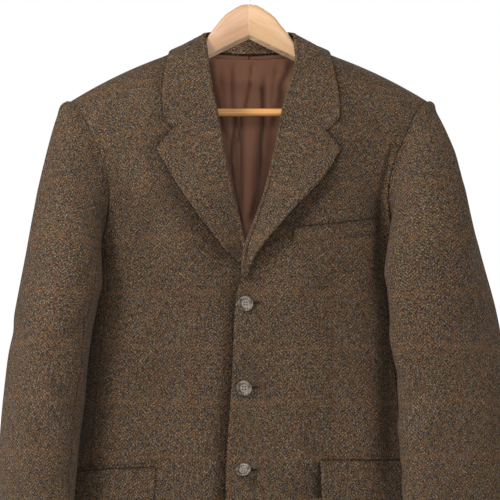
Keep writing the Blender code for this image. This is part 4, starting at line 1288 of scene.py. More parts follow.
# %% Satin
def satin(name, colour):
    """Smooth lining: fine threads along the cloth, and painted shade in a crease."""
    silk = Finish(name, Sheen_Weight=0.06, Sheen_Roughness=0.4, Specular_IOR_Level=0.25)
    grain, *_ = silk.uv("grain")
    _, seam, _ = silk.uv("seams")
    warp = silk.noise(silk.stretch(grain, (900.0, 60.0, 1.0)), 1.0, 2.0)
    cloud = silk.noise(grain, 22.0, 2.0)
    # painted shade from the seams map: darker in the lining's folds and beside the fronts
    light = (warp * 0.16 + 0.92) * (cloud * 0.24 + 0.88) * (seam.share(0.0024) * 0.84 + 0.16)
    silk.feed("Base Color", silk.blend(1.0, (*colour, 1), silk.grey(light), "MULTIPLY"))
    silk.feed("Roughness", warp * 0.14 + 0.56)
    silk.bump(warp, 0.12, 0.0003)
    return silk.material


SATIN_BROWN = satin("brown_satin", (0.372, 0.178, 0.111))
print("satin nodes:", len(SATIN_BROWN.node_tree.nodes))

# %% [markdown]
# ## Sewing the body
#
# The fronts carry a tweed facing inside their edges and satin beyond it. The columns of a
# front run out from its edge, so the first few of them are faced.

# %% Fronts, sides and backs
FINISHES = [TWEED, SATIN_BROWN]
left_edge = as_grid(front_grid(1))[:, 0]
EDGE_LINE = left_edge[:, 2], left_edge[:, 0]  # heights and x of the overlapping edge
FACED_COLUMNS = 30  # of a front's fine columns, from its edge


def refined(grid, grain, rows, columns):
    """Points and grain map of a coarse grid, read at finer rows and columns."""
    both = np.concatenate([grid, grain], axis=2)
    both = thread_through(both, rows)
    both = np.swapaxes(thread_through(np.swapaxes(both, 0, 1), columns), 0, 1)
    return both[..., :-2], both[..., -2:]


FRONT_CLOTH = {}  # the fronts' points and grain, which the pockets match
FRONT_FACE = {}  # the points once creased, on which buttons lie
LAP_LIFT = 0.0034  # the overlapping edge stands off by this
LAP_CURL = 0.012  # over about this distance
LAP_TROUGH = 0.008  # and the front under it dips by this
LAP_WIDTH = 0.015  # over this distance beside the edge
# The painted shadow on a front beside a lifted flap, the lapels and the collar:
FLAP_EDGE = (0.654, 0.69, 0.712), (0.0915, 0.086, 0.09)  # below the hanger, and out
# The lower lapels stand off the fronts: their shade reaches further by this, between two heights.
LAPEL_STANDS = {1: (0.014, -0.268, -0.405), -1: (0.011, -0.28, -0.48)}
CLOSE_BY = 0.003  # and this close to their edges it is dark all the same
COLLAR_SOFTNESS = 0.0012  # the collar's edge lies closer, so less shade falls beside it
COLLAR_LOW_Z = -0.235  # above this height
BREAK_SOFTNESS = 0.002  # and the lapel underneath flattens towards the break
BREAK_HIGH_Z = -0.38  # below this height


def lapped(grid, side):
    """The overlapping front springs up at its edge and the other one dips under it."""
    x, _, z = np.moveaxis(grid, 2, 0)
    beyond = x - np.interp(z.ravel(), *EDGE_LINE).reshape(z.shape)
    held = smooth((BREAK_Z - z) / 0.06) * (0.55 + 0.45 * smooth((-0.42 - z) / 0.18))
    if side == 1:
        depth = LAP_LIFT * np.exp(-np.abs(beyond) / LAP_CURL)
    else:
        depth = -LAP_TROUGH * smooth(beyond / LAP_WIDTH + 1) * smooth(2.4 - beyond / LAP_WIDTH)
    return grid - np.array([0, 1, 0]) * (depth * held)[..., None]


def leaf_outline(side):
    """The edge of the collar's leaf, the notch and the lapel's edge, as x to the side and z."""
    leaf = [(x, z or ridge(x)) for *_, x, z, _ in COLLAR_FRONT[side]]
    return np.array([*leaf, GORGE[side]["collar_tip"], GORGE[side]["corner"], *LAPEL_EDGE[side]])


def outside(x, z, line):
    """How far points lie outside a line that a leaf ends on; points under the leaf are negative."""
    closed = np.concatenate([line, [(-0.05, line[-1, 1]), (-0.05, line[0, 1])]])
    under = np.zeros(x.shape, dtype=bool)
    away = np.full(x.shape, 1.0)
    for number, ((x0, z0), (x1, z1)) in enumerate(zip(closed, np.roll(closed, -1, axis=0))):
        if z0 != z1:
            under ^= ((z0 > z) != (z1 > z)) & (x < x0 + (z - z0) / (z1 - z0) * (x1 - x0))
        if number < len(line) - 1:
            run = np.array([x1 - x0, z1 - z0])
            share = np.clip(((x - x0) * run[0] + (z - z0) * run[1]) / (run @ run), 0, 1)
            away = np.minimum(away, np.hypot(x - x0 - share * run[0], z - z0 - share * run[1]))
    return np.where(under, -away, away)


def outside_leaves(side, grid):
    """How far the points of a front lie outside the leaves, the overlap and a lifted flap, for the
    painted shadow beside them.
    """
    x, _, z = np.moveaxis(grid, 2, 0)
    away = outside(side * x, z, leaf_outline(side))
    away += COLLAR_SOFTNESS * smooth((z - COLLAR_LOW_Z) / 0.03)
    if side == -1:
        away += BREAK_SOFTNESS * smooth((BREAK_HIGH_Z - z) / 0.02)
        overlap = np.interp(z.ravel(), *EDGE_LINE).reshape(z.shape) - x
        away = np.minimum(away, overlap + np.maximum(z - BREAK_Z, 0) * 0.6)
    stand, high, low = LAPEL_STANDS[side]
    stand = stand * smooth((high - z) / 0.03) * smooth((z - low) / 0.05)
    away = np.maximum(np.minimum(away, CLOSE_BY), away - stand)
    if side == -1:
        return away
    flap = (np.interp(-z, *FLAP_EDGE) - x) * 0.6
    beside = (z < -FLAP_EDGE[0][0]) & (z > -FLAP_EDGE[0][-1]) & (flap > -0.01)
    return np.where(beside, np.minimum(away, flap), away)


def sew_torso(side, name):
    """Front, side body and back of one side."""
    front = as_grid(front_grid(side))
    grain = lay_flat(front, 0, (side * front[0, 0, 0] + (CHECK if side < 0 else 0), HEM_Z))
    fine, grain = refined(front, grain, steps(len(front), 6), steps(FRONT_COLUMNS, 6))
    FRONT_CLOTH[side] = fine, grain
    fine = lapped(creased(fine), side)
    FRONT_FACE[side] = fine.reshape(-1, 3)
    edges = "btlr"

    def maps(grid, to_seam):
        return to_seam, outside_leaves(side, grid)

    add_cloth(
        f"front_{name}", fine, grain, side, edges, FINISHES, "tr", maps, lined_from=FACED_COLUMNS
    )
    under = as_grid(side_grid(side))
    grain = lay_flat(under, SIDE_COLUMNS // 2, (0.0, HEM_Z))
    fine, grain = refined(under, grain, steps(len(under), 6), steps(SIDE_COLUMNS, 5))
    add_cloth(f"side_{name}", creased(fine), grain, side, edges, FINISHES, "tlr")
    back = as_grid(back_grid(side))
    grain = lay_flat(back, 0, (0.0, HEM_Z))
    fine, grain = refined(back, grain, steps(len(back), 6), steps(BACK_COLUMNS, 6))
    add_cloth(f"back_{name}", creased(fine), grain, -side, edges, FINISHES, "tlr")


for side, name in SIDES:
    sew_torso(side, name)


# %% [markdown]
# ## Sewing the sleeves
#
# The head of a tailored sleeve is eased in and stands a little proud of the shoulder: the
# rope. Lower down the sleeve breaks softly at the elbow. The strokes are given by the
# height and by the angle round the arm, with the angle scaled to metres.

# %% Sleeve strokes
ARM_RADIUS = 0.06  # turns an angle round the arm into a length
SLEEVE_CREASES = {
    # angle, z, end_angle, end_z, half_width, depth
    1: (
        (2.3, -0.42, 1.5, -0.48, 0.012, -0.003),
        (2.2, -0.48, 1.2, -0.53, 0.011, 0.0024),
        (2.3, -0.525, 1.1, -0.58, 0.013, -0.0036),
        (2.2, -0.6, 1.0, -0.64, 0.012, 0.0024),
        (2.2, -0.66, 1.0, -0.69, 0.012, -0.0026),
        (0.4, -0.17, 0.7, -0.33, 0.016, 0.0022),
        (1.2, -0.19, 1.6, -0.3, 0.012, -0.0028),
        (1.9, -0.23, 2.1, -0.34, 0.01, -0.0034),
        (-0.9, -0.2, -0.7, -0.38, 0.018, -0.0026),
        (-0.6, -0.5, 0.5, -0.56, 0.016, -0.0024),
        (5.0, -0.42, 4.2, -0.52, 0.016, -0.0034),
        (5.2, -0.6, 4.4, -0.66, 0.015, 0.003),
        (0.9, -0.74, 2.2, -0.79, 0.014, -0.002),
    ),
    -1: (
        (2.2, -0.4, 1.4, -0.45, 0.012, -0.003),
        (2.3, -0.47, 1.1, -0.52, 0.012, -0.0036),
        (2.4, -0.53, 1.1, -0.56, 0.011, 0.0026),
        (2.3, -0.59, 1.1, -0.62, 0.013, -0.0032),
        (2.6, -0.66, 1.2, -0.7, 0.012, -0.0026),
        (0.5, -0.18, 0.8, -0.34, 0.017, 0.0022),
        (1.1, -0.18, 1.5, -0.31, 0.012, -0.0026),
        (1.8, -0.22, 2.0, -0.35, 0.01, -0.0032),
        (-0.8, -0.19, -0.7, -0.36, 0.018, -0.0028),
        (-0.5, -0.48, 0.6, -0.53, 0.016, -0.0026),
        (5.1, -0.43, 4.3, -0.53, 0.016, -0.0034),
        (5.1, -0.62, 4.3, -0.68, 0.015, 0.003),
        (1.0, -0.73, 2.3, -0.78, 0.014, -0.0022),
        (3.1, -0.44, 3.1, -0.62, 0.03, 0.0024),
    ),
}
SLEEVE_FULLNESS = {
    1: (
        # distance below the hanger, how much further out the sleeve's outer side is
        (0.17, -0.003),
        (0.2, -0.002),
        (0.225, 0.0025),
        (0.26, 0.0085),
        (0.31, 0.0112),
        (0.35, 0.0092),
        (0.39, 0.0055),
        (0.44, 0.0028),
        (0.5, 0.0),
    ),
    -1: (
        (0.16, 0.004),
        (0.2, 0.0035),
        (0.26, 0.005),
        (0.31, 0.0062),
        (0.35, 0.0055),
        (0.39, 0.004),
        (0.45, 0.0026),
        (0.55, 0.001),
    ),
}
ROPE = (0.0026, 0.01, 0.0085)  # height, distance from the armhole, half width
SLEEVE_TURNING = 0.0055  # the sleeve's edge goes on under the body's by this
SLEEVE_MATCH = 0.008  # lifts the sleeves' check to the body's
HEAD_CALM = 0.05  # creases start below the armhole over this distance
OUTER_TURN = 0.85  # radians about the outer line that are fuller


# %% Sleeves
def sew_sleeve(side, name):
    """Top and under sleeve, cut from one closed grid."""
    coarse = as_grid(sleeve_points(side))
    count = coarse.shape[1]
    loop = armhole(side)
    spans = [(loop[(i + 1) % count][0] - loop[i][0]).length for i in range(count)]
    shares = np.concatenate([[0], np.cumsum(spans)]) / sum(spans)
    angles = np.array([read_row(AROUND_ARM, min(share, 1.0))[0] for share in shares])
    rows = steps(len(coarse), 7)
    strokes = SLEEVE_CREASES[side]
    strokes = [(a * ARM_RADIUS, z, end * ARM_RADIUS, *rest) for a, z, end, *rest in strokes]
    heights, fullness = zip(*SLEEVE_FULLNESS[side])
    cuts = (("top", HINDARM_SEAM - count, FOREARM_SEAM), ("under", FOREARM_SEAM, HINDARM_SEAM))
    for piece, first, last in cuts:
        columns = np.arange(first - 1, last + 2)
        part = coarse[:, columns % count]
        twice_round = np.concatenate([angles[:-1] - TURN, angles])
        turns = np.interp(columns, np.arange(-count, count + 1), twice_round)
        part = np.concatenate([part, np.broadcast_to(turns[:, None], (*part.shape[:2], 1))], axis=2)
        straight = int(np.argmin(np.abs(turns - (0 if piece == "top" else math.pi))))
        grain = lay_flat(part[::-1, :, :3], straight, (0.0, HEM_Z + SLEEVE_MATCH))[::-1]
        fine, grain = refined(part, grain, rows, np.array(steps(last - first + 1, 5)) + 1)
        grid, turns = fine[..., :3], fine[..., 3]
        normals = facing_out(grid, side)
        z = grid[..., 2]
        depth = sum(stroke_depth(turn * ARM_RADIUS, z, strokes) for turn in (turns, turns + TURN))
        from_top = run_lengths(grid, 0)
        outer = np.exp(-((turns / OUTER_TURN) ** 2)) * smooth(from_top / 0.02)
        fuller = np.interp(-z, heights, fullness) * outer
        depth = depth * smooth(from_top / HEAD_CALM) + fuller
        height, middle, wide = ROPE
        near_top = smooth((1.15 - np.abs(turns)) / 0.9)
        depth = depth + height * near_top * np.exp(-(((from_top - middle) / wide) ** 2))
        grid = grid + normals * depth[..., None]
        ahead = grid[0] - grid[1]
        turning = grid[0] + ahead * (SLEEVE_TURNING / np.linalg.norm(ahead, axis=1))[:, None]
        turning -= normals[0] * WALL
        grid = np.concatenate([turning[None], grid])
        grain = np.concatenate([grain[:1] + (0, SLEEVE_TURNING), grain])
        add_cloth(f"sleeve_{piece}_{name}", grid, grain, side, "btlr", FINISHES, "blr")


for side, name in SIDES:
    sew_sleeve(side, name)


# %% [markdown]
# ## Collar and lapels
#
# A collar's threads run across it at the centre back, and a lapel's follow its roll. Their
# free edges are thick and round, because two layers of tweed and a canvas are turned there.

# %% Collar
COLLAR_DIP = (0.0022, 0.1, 0.012)  # the fall dips by this, this far out, over this half width
LEAF_CREASES = 0.5  # the collar and the lapels take this much of the creases under them
STAND_PALE = 1.2  # painted light on the inside of the stand, at the back neck, which lies in the hanger's shade
SEAM_PALE = 0.8  # and stronger painted light on its seam with the lining, where its rim faces down


def stand_painted_light(grid, to_seam):
    """Past 1 on the inside of the stand: how much paler its facing is."""
    up = run_lengths(grid, 0)
    top = np.take_along_axis(up, np.argmax(grid[..., 2], axis=0)[None], axis=0)
    behind = smooth((grid[..., 1] - 0.004) / 0.02) * smooth((top - up) / 0.008)
    # Past 1 on the inside of the stand: how much painted light brightens it.
    return to_seam, 1 + behind * (STAND_PALE + SEAM_PALE * np.exp(-((up / 0.003) ** 2)))


def sew_collar():
    coarse = as_grid(collar_rows())
    grain = lay_flat(coarse, coarse.shape[1] // 2)
    fine, grain = refined(coarse, grain, steps(coarse.shape[0], 6), steps(coarse.shape[1], 7))
    x, y, z = np.moveaxis(fine, 2, 0)
    dip, middle, wide = COLLAR_DIP
    z -= dip * np.exp(-(((np.abs(x) - middle) / wide) ** 2)) * smooth((y + 0.045) / 0.02)
    add_cloth("collar", creased(fine, LEAF_CREASES), grain, 1, "tlr", [TWEED], maps=stand_painted_light)


def sew_lapel(side, name):
    coarse = as_grid(lapel_rows(side))
    grain = lay_flat(coarse, 4)
    fine, grain = refined(coarse, grain, steps(coarse.shape[0], 7), steps(coarse.shape[1], 6))
    add_cloth(f"lapel_{name}", creased(fine, LEAF_CREASES), grain, -side, "br", [TWEED])


sew_collar()
for side, name in SIDES:
    sew_lapel(side, name)


# %% [markdown]
# ## Pockets
#
# The breast welt is a strip sewn over the pocket's mouth. A hip flap hangs from a narrow jet
# and curls a little at its free corner. All are cut to match the front, so their grain map
# continues the front's.

# %% Table of the pockets
WELT_LINE = (0.0563, -0.3541, 0.1677, -0.3407)  # top edge, from the front end
WELT_DEPTH = 0.022
POCKETS = {
    # front end and slant of the jet, the flap's length on the cloth, its depth
    1: {"x": 0.0915, "z": -0.647, "slant": 0.012, "length": 0.16, "depth": 0.06},
    -1: {"x": 0.1195, "z": -0.656, "slant": 0.07, "length": 0.16, "depth": 0.06},
}
POCKET_STEP = 0.002  # a pocket's length is measured in these steps
POCKET_LIMIT = 0.985  # of the half width, where a pocket ends at the latest
JET_DEPTH = 0.0055
FLAP_WALL = 0.0026


def strip_on(side, start, end, depth, steps, rows, lift):
    """A patch on the torso's front or side below a line, in turns round the section."""
    grid = []
    for row in range(rows):
        line = []
        for step in range(steps):
            share = step / (steps - 1)
            z = mix(start[1], end[1], share) - depth * row / (rows - 1)
            turn = mix(turn_at(start[0], start[1]), turn_at(end[0], end[1]), share)
            point, out = cloth(side, turn, z)
            line.append((point + out * lift, out))
        grid.append(line)
    return grid


def pocket_end(side, pocket):
    """Where the pocket's line ends when its length is laid round the torso."""
    x = pocket["x"]
    z = pocket["z"]
    length = 0.0
    before = front_cloth(side, x, z)[0]
    while length < pocket["length"]:
        x += POCKET_STEP
        z -= POCKET_STEP * pocket["slant"]
        after = front_cloth(side, x, z)[0]
        length += (after - before).length
        before = after
        if x > POCKET_LIMIT * read_row(TORSO, z)[0]:
            break
    return x, z


# %% Pockets
FLAP_CURL = {1: 0.006, -1: 0.0005}  # a flap's free corner stands off by this
JET_SINK = 0.0016  # a jet lies this much deeper than its flap


def sew_patch(
    node, side, start, end, depth, lift, thickness, sewn,
    curl=0.0, mouth=0.0, sink=0.0, shade=40.0,
):
    """A strip on a front: its free corner may curl, its top stand open and its bottom sink in.

    A low shade paints shade on its sewn edges, as dark as the mouth of a pocket.
    """
    coarse = as_grid(strip_on(side, start, end, depth, 13, 4, lift))
    cloth_points, cloth_grain = FRONT_CLOTH[side]
    away = coarse[:, :, None, ::2] - cloth_points.reshape(-1, 3)[:, ::2]
    nearest = np.argmin((away**2).sum(axis=3), axis=2)[..., None]
    away = np.take_along_axis(away, nearest[..., None], axis=2)[:, :, 0]
    grain = cloth_grain.reshape(-1, 2)[nearest[..., 0]] + away * (side, 1)
    fine, grain = refined(coarse, grain, steps(4, 8), steps(13, 8))
    rows, columns = fine.shape[:2]
    down = np.linspace(0, 1, rows)[:, None]
    out = np.linspace(0, 1, columns)[None, :]
    fine = creased(fine)
    rise = curl * down**1.5 * np.exp(-((out / 0.16) ** 2))
    rise = rise + mouth * smooth(1 - 3 * down) * smooth(6 * out) * smooth(6 - 6 * out)
    rise = rise - sink * smooth(2.5 * down - 1.5)
    fine = fine + facing_out(fine, -side) * rise[..., None]

    def maps(_, to_seam):
        return to_seam, np.minimum(to_seam * shade, 1)

    add_cloth(node, fine, grain, -side, "btlr", [TWEED], sewn, maps, thickness)


def sew_pockets(side, name):
    pocket = POCKETS[side]
    start = pocket["x"], pocket["z"]
    end = pocket_end(side, pocket)
    lift = FLAP_WALL + LAY
    sew_patch(f"pocket_jet_{name}", side, start, end, JET_DEPTH, lift - JET_SINK, FLAP_WALL, "bt")
    start = start[0], start[1] - JET_DEPTH
    end = end[0], end[1] - JET_DEPTH
    depth, curl = pocket["depth"], FLAP_CURL[side]
    sew_patch(f"pocket_flap_{name}", side, start, end, depth, lift, FLAP_WALL, "b", curl)


for side, name in SIDES:
    sew_pockets(side, name)
welt_ends = WELT_LINE[:2], WELT_LINE[2:]
# the welt's sewn edges get a wide painted shade, as in the pocket's mouth
sew_patch(
    "breast_welt", 1, *welt_ends, WELT_DEPTH, WALL + LAY, WALL, "bl",
    mouth=0.0012, sink=0.0026, shade=3.0,
)

# %% [markdown]
# ## The lining inside the neck
#
# Lining is cut wider than the back, with a pleat down the middle, so that it doesn't pull.
# On a hanger the spare width falls into deep soft folds. They only ever stand inwards,
# because the back is right behind.

# %% Lining
def lining_grid():
    """The back lining from one side to the other, made from the backs' points."""
    rows = zip(back_grid(-1)[:-1], back_grid(1)[:-1])
    grid = [right[LINING_COLUMNS:0:-1] + left[: LINING_COLUMNS + 1] for right, left in rows]
    return [[(point - out * (WALL + LINING_GAP), out) for point, out in row] for row in grid]


LINING_LIFT = 0.0065  # the spare cloth stands off the back by this
LINING_FOLDS = (
    # x at the top, x at the bottom, top z, half_width, depth
    (-0.021, -0.017, -0.135, 0.0034, 0.005),
    (0.004, -0.018, -0.13, 0.0022, 0.0036),
    (-0.006, -0.015, -0.195, 0.003, 0.006),
    (0.018, 0.012, -0.15, 0.0046, 0.006),
    (0.038, 0.018, -0.13, 0.004, 0.003),
    (-0.035, -0.03, -0.14, 0.006, 0.004),
    (0.048, 0.042, -0.17, 0.006, 0.005),
    (0.07, 0.066, -0.15, 0.007, 0.005),
    (-0.06, -0.056, -0.15, 0.007, 0.006),
    (-0.095, -0.088, -0.15, 0.008, 0.005),
    (0.1, 0.092, -0.15, 0.008, 0.005),
)
LINING_TOP_Z = -0.118
SHADED_LINES = (
    # painted shade along a front's inner edge or a deep fold: half width, strength, points of x and z
    (
        0.0054, 0.78,
        (-0.05, -0.14), (-0.0465, -0.166), (-0.042, -0.185), (-0.035, -0.22), (-0.029, -0.236),
    ),
    (
        0.0054, 0.8,
        (0.052, -0.14), (0.0485, -0.153), (0.0415, -0.166), (0.0397, -0.185), (0.03, -0.222),
    ),
    (
        0.0028, 0.95,
        (-0.0172, -0.205), (-0.0168, -0.22), (-0.022, -0.243), (-0.0232, -0.268), (-0.0198, -0.294),
    ),
    (0.0028, 0.95, (-0.0198, -0.294), (-0.0142, -0.32), (-0.01, -0.345), (-0.0065, -0.365)),
    (0.0024, 0.9, (-0.0096, -0.205), (-0.0112, -0.226), (-0.015, -0.246)),
    (0.0024, 0.55, (0.002, -0.166), (-0.003, -0.19), (-0.006, -0.204)),
    (
        0.0032, 0.95,
        (0.0166, -0.172), (0.0186, -0.22), (0.0147, -0.243), (0.015, -0.268), (0.0125, -0.294),
    ),
    (0.0032, 0.8, (0.0125, -0.294), (0.0065, -0.32), (0.001, -0.345)),
)
LEAST_LIFT = 0.0003  # no fold goes closer to the back than this
DARKEST_FOLD = 0.0085  # a fold this deep gets as much painted shade as a seam
GROOVE_SHADE = 0.0024  # a point at the top of a fold counts as this far from a seam


def sew_lining():
    """The back lining: it stands off the back, narrow grooves fall between its folds, and painted
    shade darkens them.
    """
    coarse = as_grid(lining_grid())
    grain = lay_flat(coarse, coarse.shape[1] // 2, (0.0, HEM_Z))
    fine, grain = refined(coarse, grain, steps(coarse.shape[0], 6), steps(coarse.shape[1], 16))
    x, _, z = np.moveaxis(fine, 2, 0)
    lift = LINING_LIFT * smooth((LINING_TOP_Z - z) / 0.05) * (0.75 + 0.25 * np.sin(31 * x + 9 * z))
    groove = np.zeros_like(x)
    for top_x, low_x, top_z, half_width, height in LINING_FOLDS:
        down = np.clip((top_z - z) / 0.16, 0, 1)
        line = top_x + (low_x - top_x) * down + 0.0016 * np.sin(33 * z + 90 * top_x)
        wide = half_width * (0.7 + 0.6 * down)
        fold = smooth((top_z - z) / 0.03) * np.exp(-(((x - line) / wide) ** 2))
        lift -= height * fold
        groove = np.maximum(groove, fold * height / DARKEST_FOLD)
    shade = np.zeros_like(x)
    for half_width, strength, *points in SHADED_LINES:
        line_x, line_z = np.array(points).T
        line = np.interp(-z, -line_z, line_x)
        ends = smooth((line_z[0] + 0.008 - z) / 0.012) * smooth((z - line_z[-1] + 0.008) / 0.012)
        shade = np.maximum(shade, strength * ends * np.exp(-(((x - line) / half_width) ** 2)))
    groove = np.maximum(groove, shade)
    lift = np.maximum(lift, LEAST_LIFT)
    fine = creased(fine) - facing_out(fine, -1) * lift[..., None]
    # painted shade: the lining is darker lower down, where it lies deeper between the fronts
    low_painted_shade = 1 - 0.12 * smooth((-0.19 - z) / 0.14)

    def maps(*_):
        return GROOVE_SHADE * (1 - np.minimum(groove, 1)) * low_painted_shade, np.ones_like(groove)

    add_cloth(
        "lining_back", fine, grain, -1, "", [SATIN_BROWN], "", maps, SATIN, "satin_lining"
    )


sew_lining()

# %% [markdown]
# ## Buttons
#
# The buttons are turned discs with a raised rim, a paler hollow in the middle and four holes.
# A polar grid is lathe work: a profile gives the height at each radius, and the holes
# are sunk into the same grid, deep enough to be dark; the finish paints shade in them as well.

# %% Horn
BUTTON_RADIUS = 0.01
HOLE_OFFSET = 0.0017  # from the middle of a button, both ways
HOLE_RADIUS = 0.00092
HORN_COLOURS = (
    # share where the colour lies, colour
    (0.36, (0.016, 0.012, 0.009)),
    (0.46, (0.046, 0.035, 0.027)),
    (0.56, (0.1, 0.08, 0.062)),
    (0.68, (0.19, 0.16, 0.128)),
)


def horn(name):
    """Mottled horn with a paler middle, a ring of painted shade round it and painted shade in its
    four holes.
    """
    shell = Finish(name, Coat_Roughness=0.18, Coat_Weight=0.12, Specular_IOR_Level=0.35)
    place = shell.place()
    across, up = shell.two(place)
    radius = (across * across + up * up).math("SQRT") / BUTTON_RADIUS
    swirl = shell.noise(place, 170.0, 4.0, Distortion=1.2)
    waves = {"Vector": place, "Scale": 90.0, "Distortion": 9.0, "Detail": 3.0}
    streak = shell.node("ShaderNodeTexWave", (), waves, 1)
    mottle = swirl * 0.88 + streak * 0.12
    colour = shell.node("ShaderNodeValToRGB", {"stops": HORN_COLOURS}, {0: mottle})
    middle = 1 - ((radius - 0.46) * 9).math("MAXIMUM", 0.0).math("MINIMUM", 1.0)
    colour = shell.blend(middle * 0.8, colour, (0.19, 0.15, 0.11, 1))
    # painted shade: a dark ring where the dish meets the rim, and near black in the holes
    groove = 1 - ((radius - 0.6).math("ABSOLUTE") / 0.07).math("MINIMUM", 1.0)
    beside = across.math("ABSOLUTE") - HOLE_OFFSET, up.math("ABSOLUTE") - HOLE_OFFSET
    to_hole = (beside[0] * beside[0] + beside[1] * beside[1]).math("SQRT")
    hole = 1 - ((to_hole - HOLE_RADIUS * 0.8) / 0.0003).math("MAXIMUM", 0.0).math("MINIMUM", 1.0)
    colour = shell.blend(groove * 0.6, colour, (0.022, 0.017, 0.013, 1))
    colour = shell.blend(hole, colour, (0.004, 0.003, 0.003, 1))
    shell.feed("Base Color", colour)
    shell.feed("Roughness", swirl * 0.25 + 0.34)
    shell.bump(mottle, 0.08, 0.0002)
    return shell.material


HORN = horn("mottled_horn")


def thread_finish(name, colour):
    """Spun silk: slanting plies of one colour."""
    spun = Finish(name, Roughness=0.85, Specular_IOR_Level=0.15)
    waves = {"Vector": spun.place(), "Scale": 700.0}
    ply = spun.node("ShaderNodeTexWave", {"bands_direction": "DIAGONAL"}, waves, 1)
    light = spun.grey(ply * 0.5 + 0.6)
    spun.feed("Base Color", spun.blend(1.0, (*colour, 1), light, "MULTIPLY"))
    spun.bump(ply, 0.4, 0.0002)
    return spun.material


# painted shade: a near black sheet in each buttonhole's slit, where the opening is dark
SLIT_PAINTED_SHADE = thread_finish("slit_painted_shade", (0.008, 0.006, 0.005))
BROWN_THREAD = thread_finish("brown_thread", (0.06, 0.042, 0.025))

# %% Lathe
def lathe(name, profile, around, pits=()):
    """A closed turned mesh about +Z; pits are (x, y, radius, depth) sunk into its top."""
    radii, heights = profile[:, 0], profile[:, 1]
    angles = np.linspace(0, TURN, around, endpoint=False)
    across, up = np.outer(radii, np.cos(angles)), np.outer(radii, np.sin(angles))
    points = np.stack([across, up, np.outer(heights, np.ones(around))], axis=2)
    for x, y, radius, depth in pits:
        away = np.hypot(points[..., 0] - x, points[..., 1] - y)
        top = points[..., 2] > heights[0] - 0.0012
        points[..., 2] -= depth * smooth((radius - away) / (radius * 0.35)) * top
    return ring_mesh(name, points)


# %% Table of the buttons
BUTTONS = (
    # x, z, how far it leans on its thread
    (-0.0044, -0.452, (0.02, 0, 0.02)),
    (-0.0058, -0.5602, (-0.12, 0, -0.06)),
    (-0.0067, -0.666, (-0.3, 0, 0.8)),
)
HOLE_DEPTH = 0.0014
BUTTON_GAP = 0.0006  # under a button, where its thread shank holds it
PROFILE = np.array((
    # radius share, height
    (0.01, 0.00215),
    (0.3, 0.00215),
    (0.5, 0.00225),
    (0.58, 0.00255),
    (0.7, 0.0032),
    (0.84, 0.00365),
    (0.93, 0.00345),
    (0.98, 0.0029),
    (1.0, 0.0022),
    (0.98, 0.0013),
    (0.9, 0.0007),
    (0.6, 0.0001),
    (0.1, 0.0),
))


# %% Places on the creased front
def laid_on(x, z, lift):
    """A point lifted off the overlapping front, once creased, at x and z."""
    face = FRONT_FACE[1]
    away = (face[:, 0] - x) ** 2 + (face[:, 2] - z) ** 2
    nearest = np.argsort(away)[:6]
    weight = 1 / (away[nearest] + 1e-8)
    y = (face[nearest, 1] * weight).sum() / weight.sum()
    return Vector((x, y, z)) + front_cloth(1, x, z)[1] * lift


# %% Buttons
def turned_button(number, place, lean):
    at = np.concatenate([np.linspace(0, 3, 40), np.linspace(3.2, 12, 40)])
    fine = thread_through(PROFILE, at)
    fine[:, 0] = np.clip(fine[:, 0], 0.001, 1.0) * BUTTON_RADIUS
    offsets = (-HOLE_OFFSET, HOLE_OFFSET)
    holes = [(x, y, HOLE_RADIUS, HOLE_DEPTH) for x in offsets for y in offsets]
    mesh = lathe(f"button_{number}_turned", fine, 72, holes)
    piece = bpy.data.objects.new(mesh.name, mesh)
    out = front_cloth(1, *place)[1]
    facing = (out + Vector(lean)).normalized()
    piece.rotation_mode = "QUATERNION"
    piece.rotation_quaternion = facing.to_track_quat("Z", "Y")
    rise = BUTTON_GAP + BUTTON_RADIUS * 0.8 * math.sin(out.angle(facing))
    piece.location = laid_on(*place, rise)
    bpy.context.collection.objects.link(piece)
    bpy.context.view_layer.update()
    face_out(mesh)
    mesh.shade_smooth()
    mesh.materials.append(HORN)
    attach(piece, "root")
    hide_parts(f"button_{number}")


for number, (x, z, lean) in enumerate(BUTTONS, 1):
    turned_button(number, (x, z), lean)
print("buttons:", len(BUTTONS))

# %% [markdown]
# ## Thread, wire and round bars
#
# A thread, the hook's wire and the hanger's dowel are all tubes along a path. One helper
# sweeps a circle, with a radius that may change along the way.

# %% Tubes
def tube(name, path, radii, sides=12, closed=False):
    """A closed mesh round a path of points."""
    path = np.array([tuple(point) for point in path], dtype=float)
    ahead = np.roll(path, -1, axis=0) - np.roll(path, 1, axis=0)
    if not closed:
        ahead[0] = path[1] - path[0]
        ahead[-1] = path[-1] - path[-2]
    ahead /= np.linalg.norm(ahead, axis=1, keepdims=True)
    level = abs(ahead[:, 1]).max() < 0.9  # nowhere along Y
    wide = np.cross(ahead, (0.0, 1.0, 0.0) if level else (0.0, 0.0, 1.0))
    wide /= np.linalg.norm(wide, axis=1, keepdims=True)
    high = np.cross(wide, ahead)
    angles = np.linspace(0, TURN, sides, endpoint=False)
    radii = np.broadcast_to(radii, (len(path),)).reshape(-1, 1, 1)
    ring = wide[:, None] * np.cos(angles)[None, :, None]
    ring = ring + high[:, None] * np.sin(angles)[None, :, None]
    return ring_mesh(name, path[:, None] + ring * radii, closed)


print("tube check:", len(tube("trial", [(0, 0, 0), (0, 0, 1)], 0.1).vertices), "points")

# %% [markdown]
# ## Buttonholes
#
# A tailor's buttonhole is a slit with an eye, bound in silk twist. The slit is a flat lens of
# painted shade and the twist a thin rounded ring round it, both laid on the front's own surface.

# %% Buttonholes
HOLE_START = (0.001, 0.0004)  # from the middle of its button to the hole's ends
HOLE_END = (0.021, 0.0012)
HOLE_WIDTH = 0.0034
HOLE_LIFT = 0.0012  # the twist stands off the front by this
TWIST_RADIUS = 0.00042
SLIT_SHARE = 0.62  # of the ring's size


def squared(share, power):
    """A cosine or sine whose curve is made squarer."""
    return math.copysign(abs(share) ** power, share)


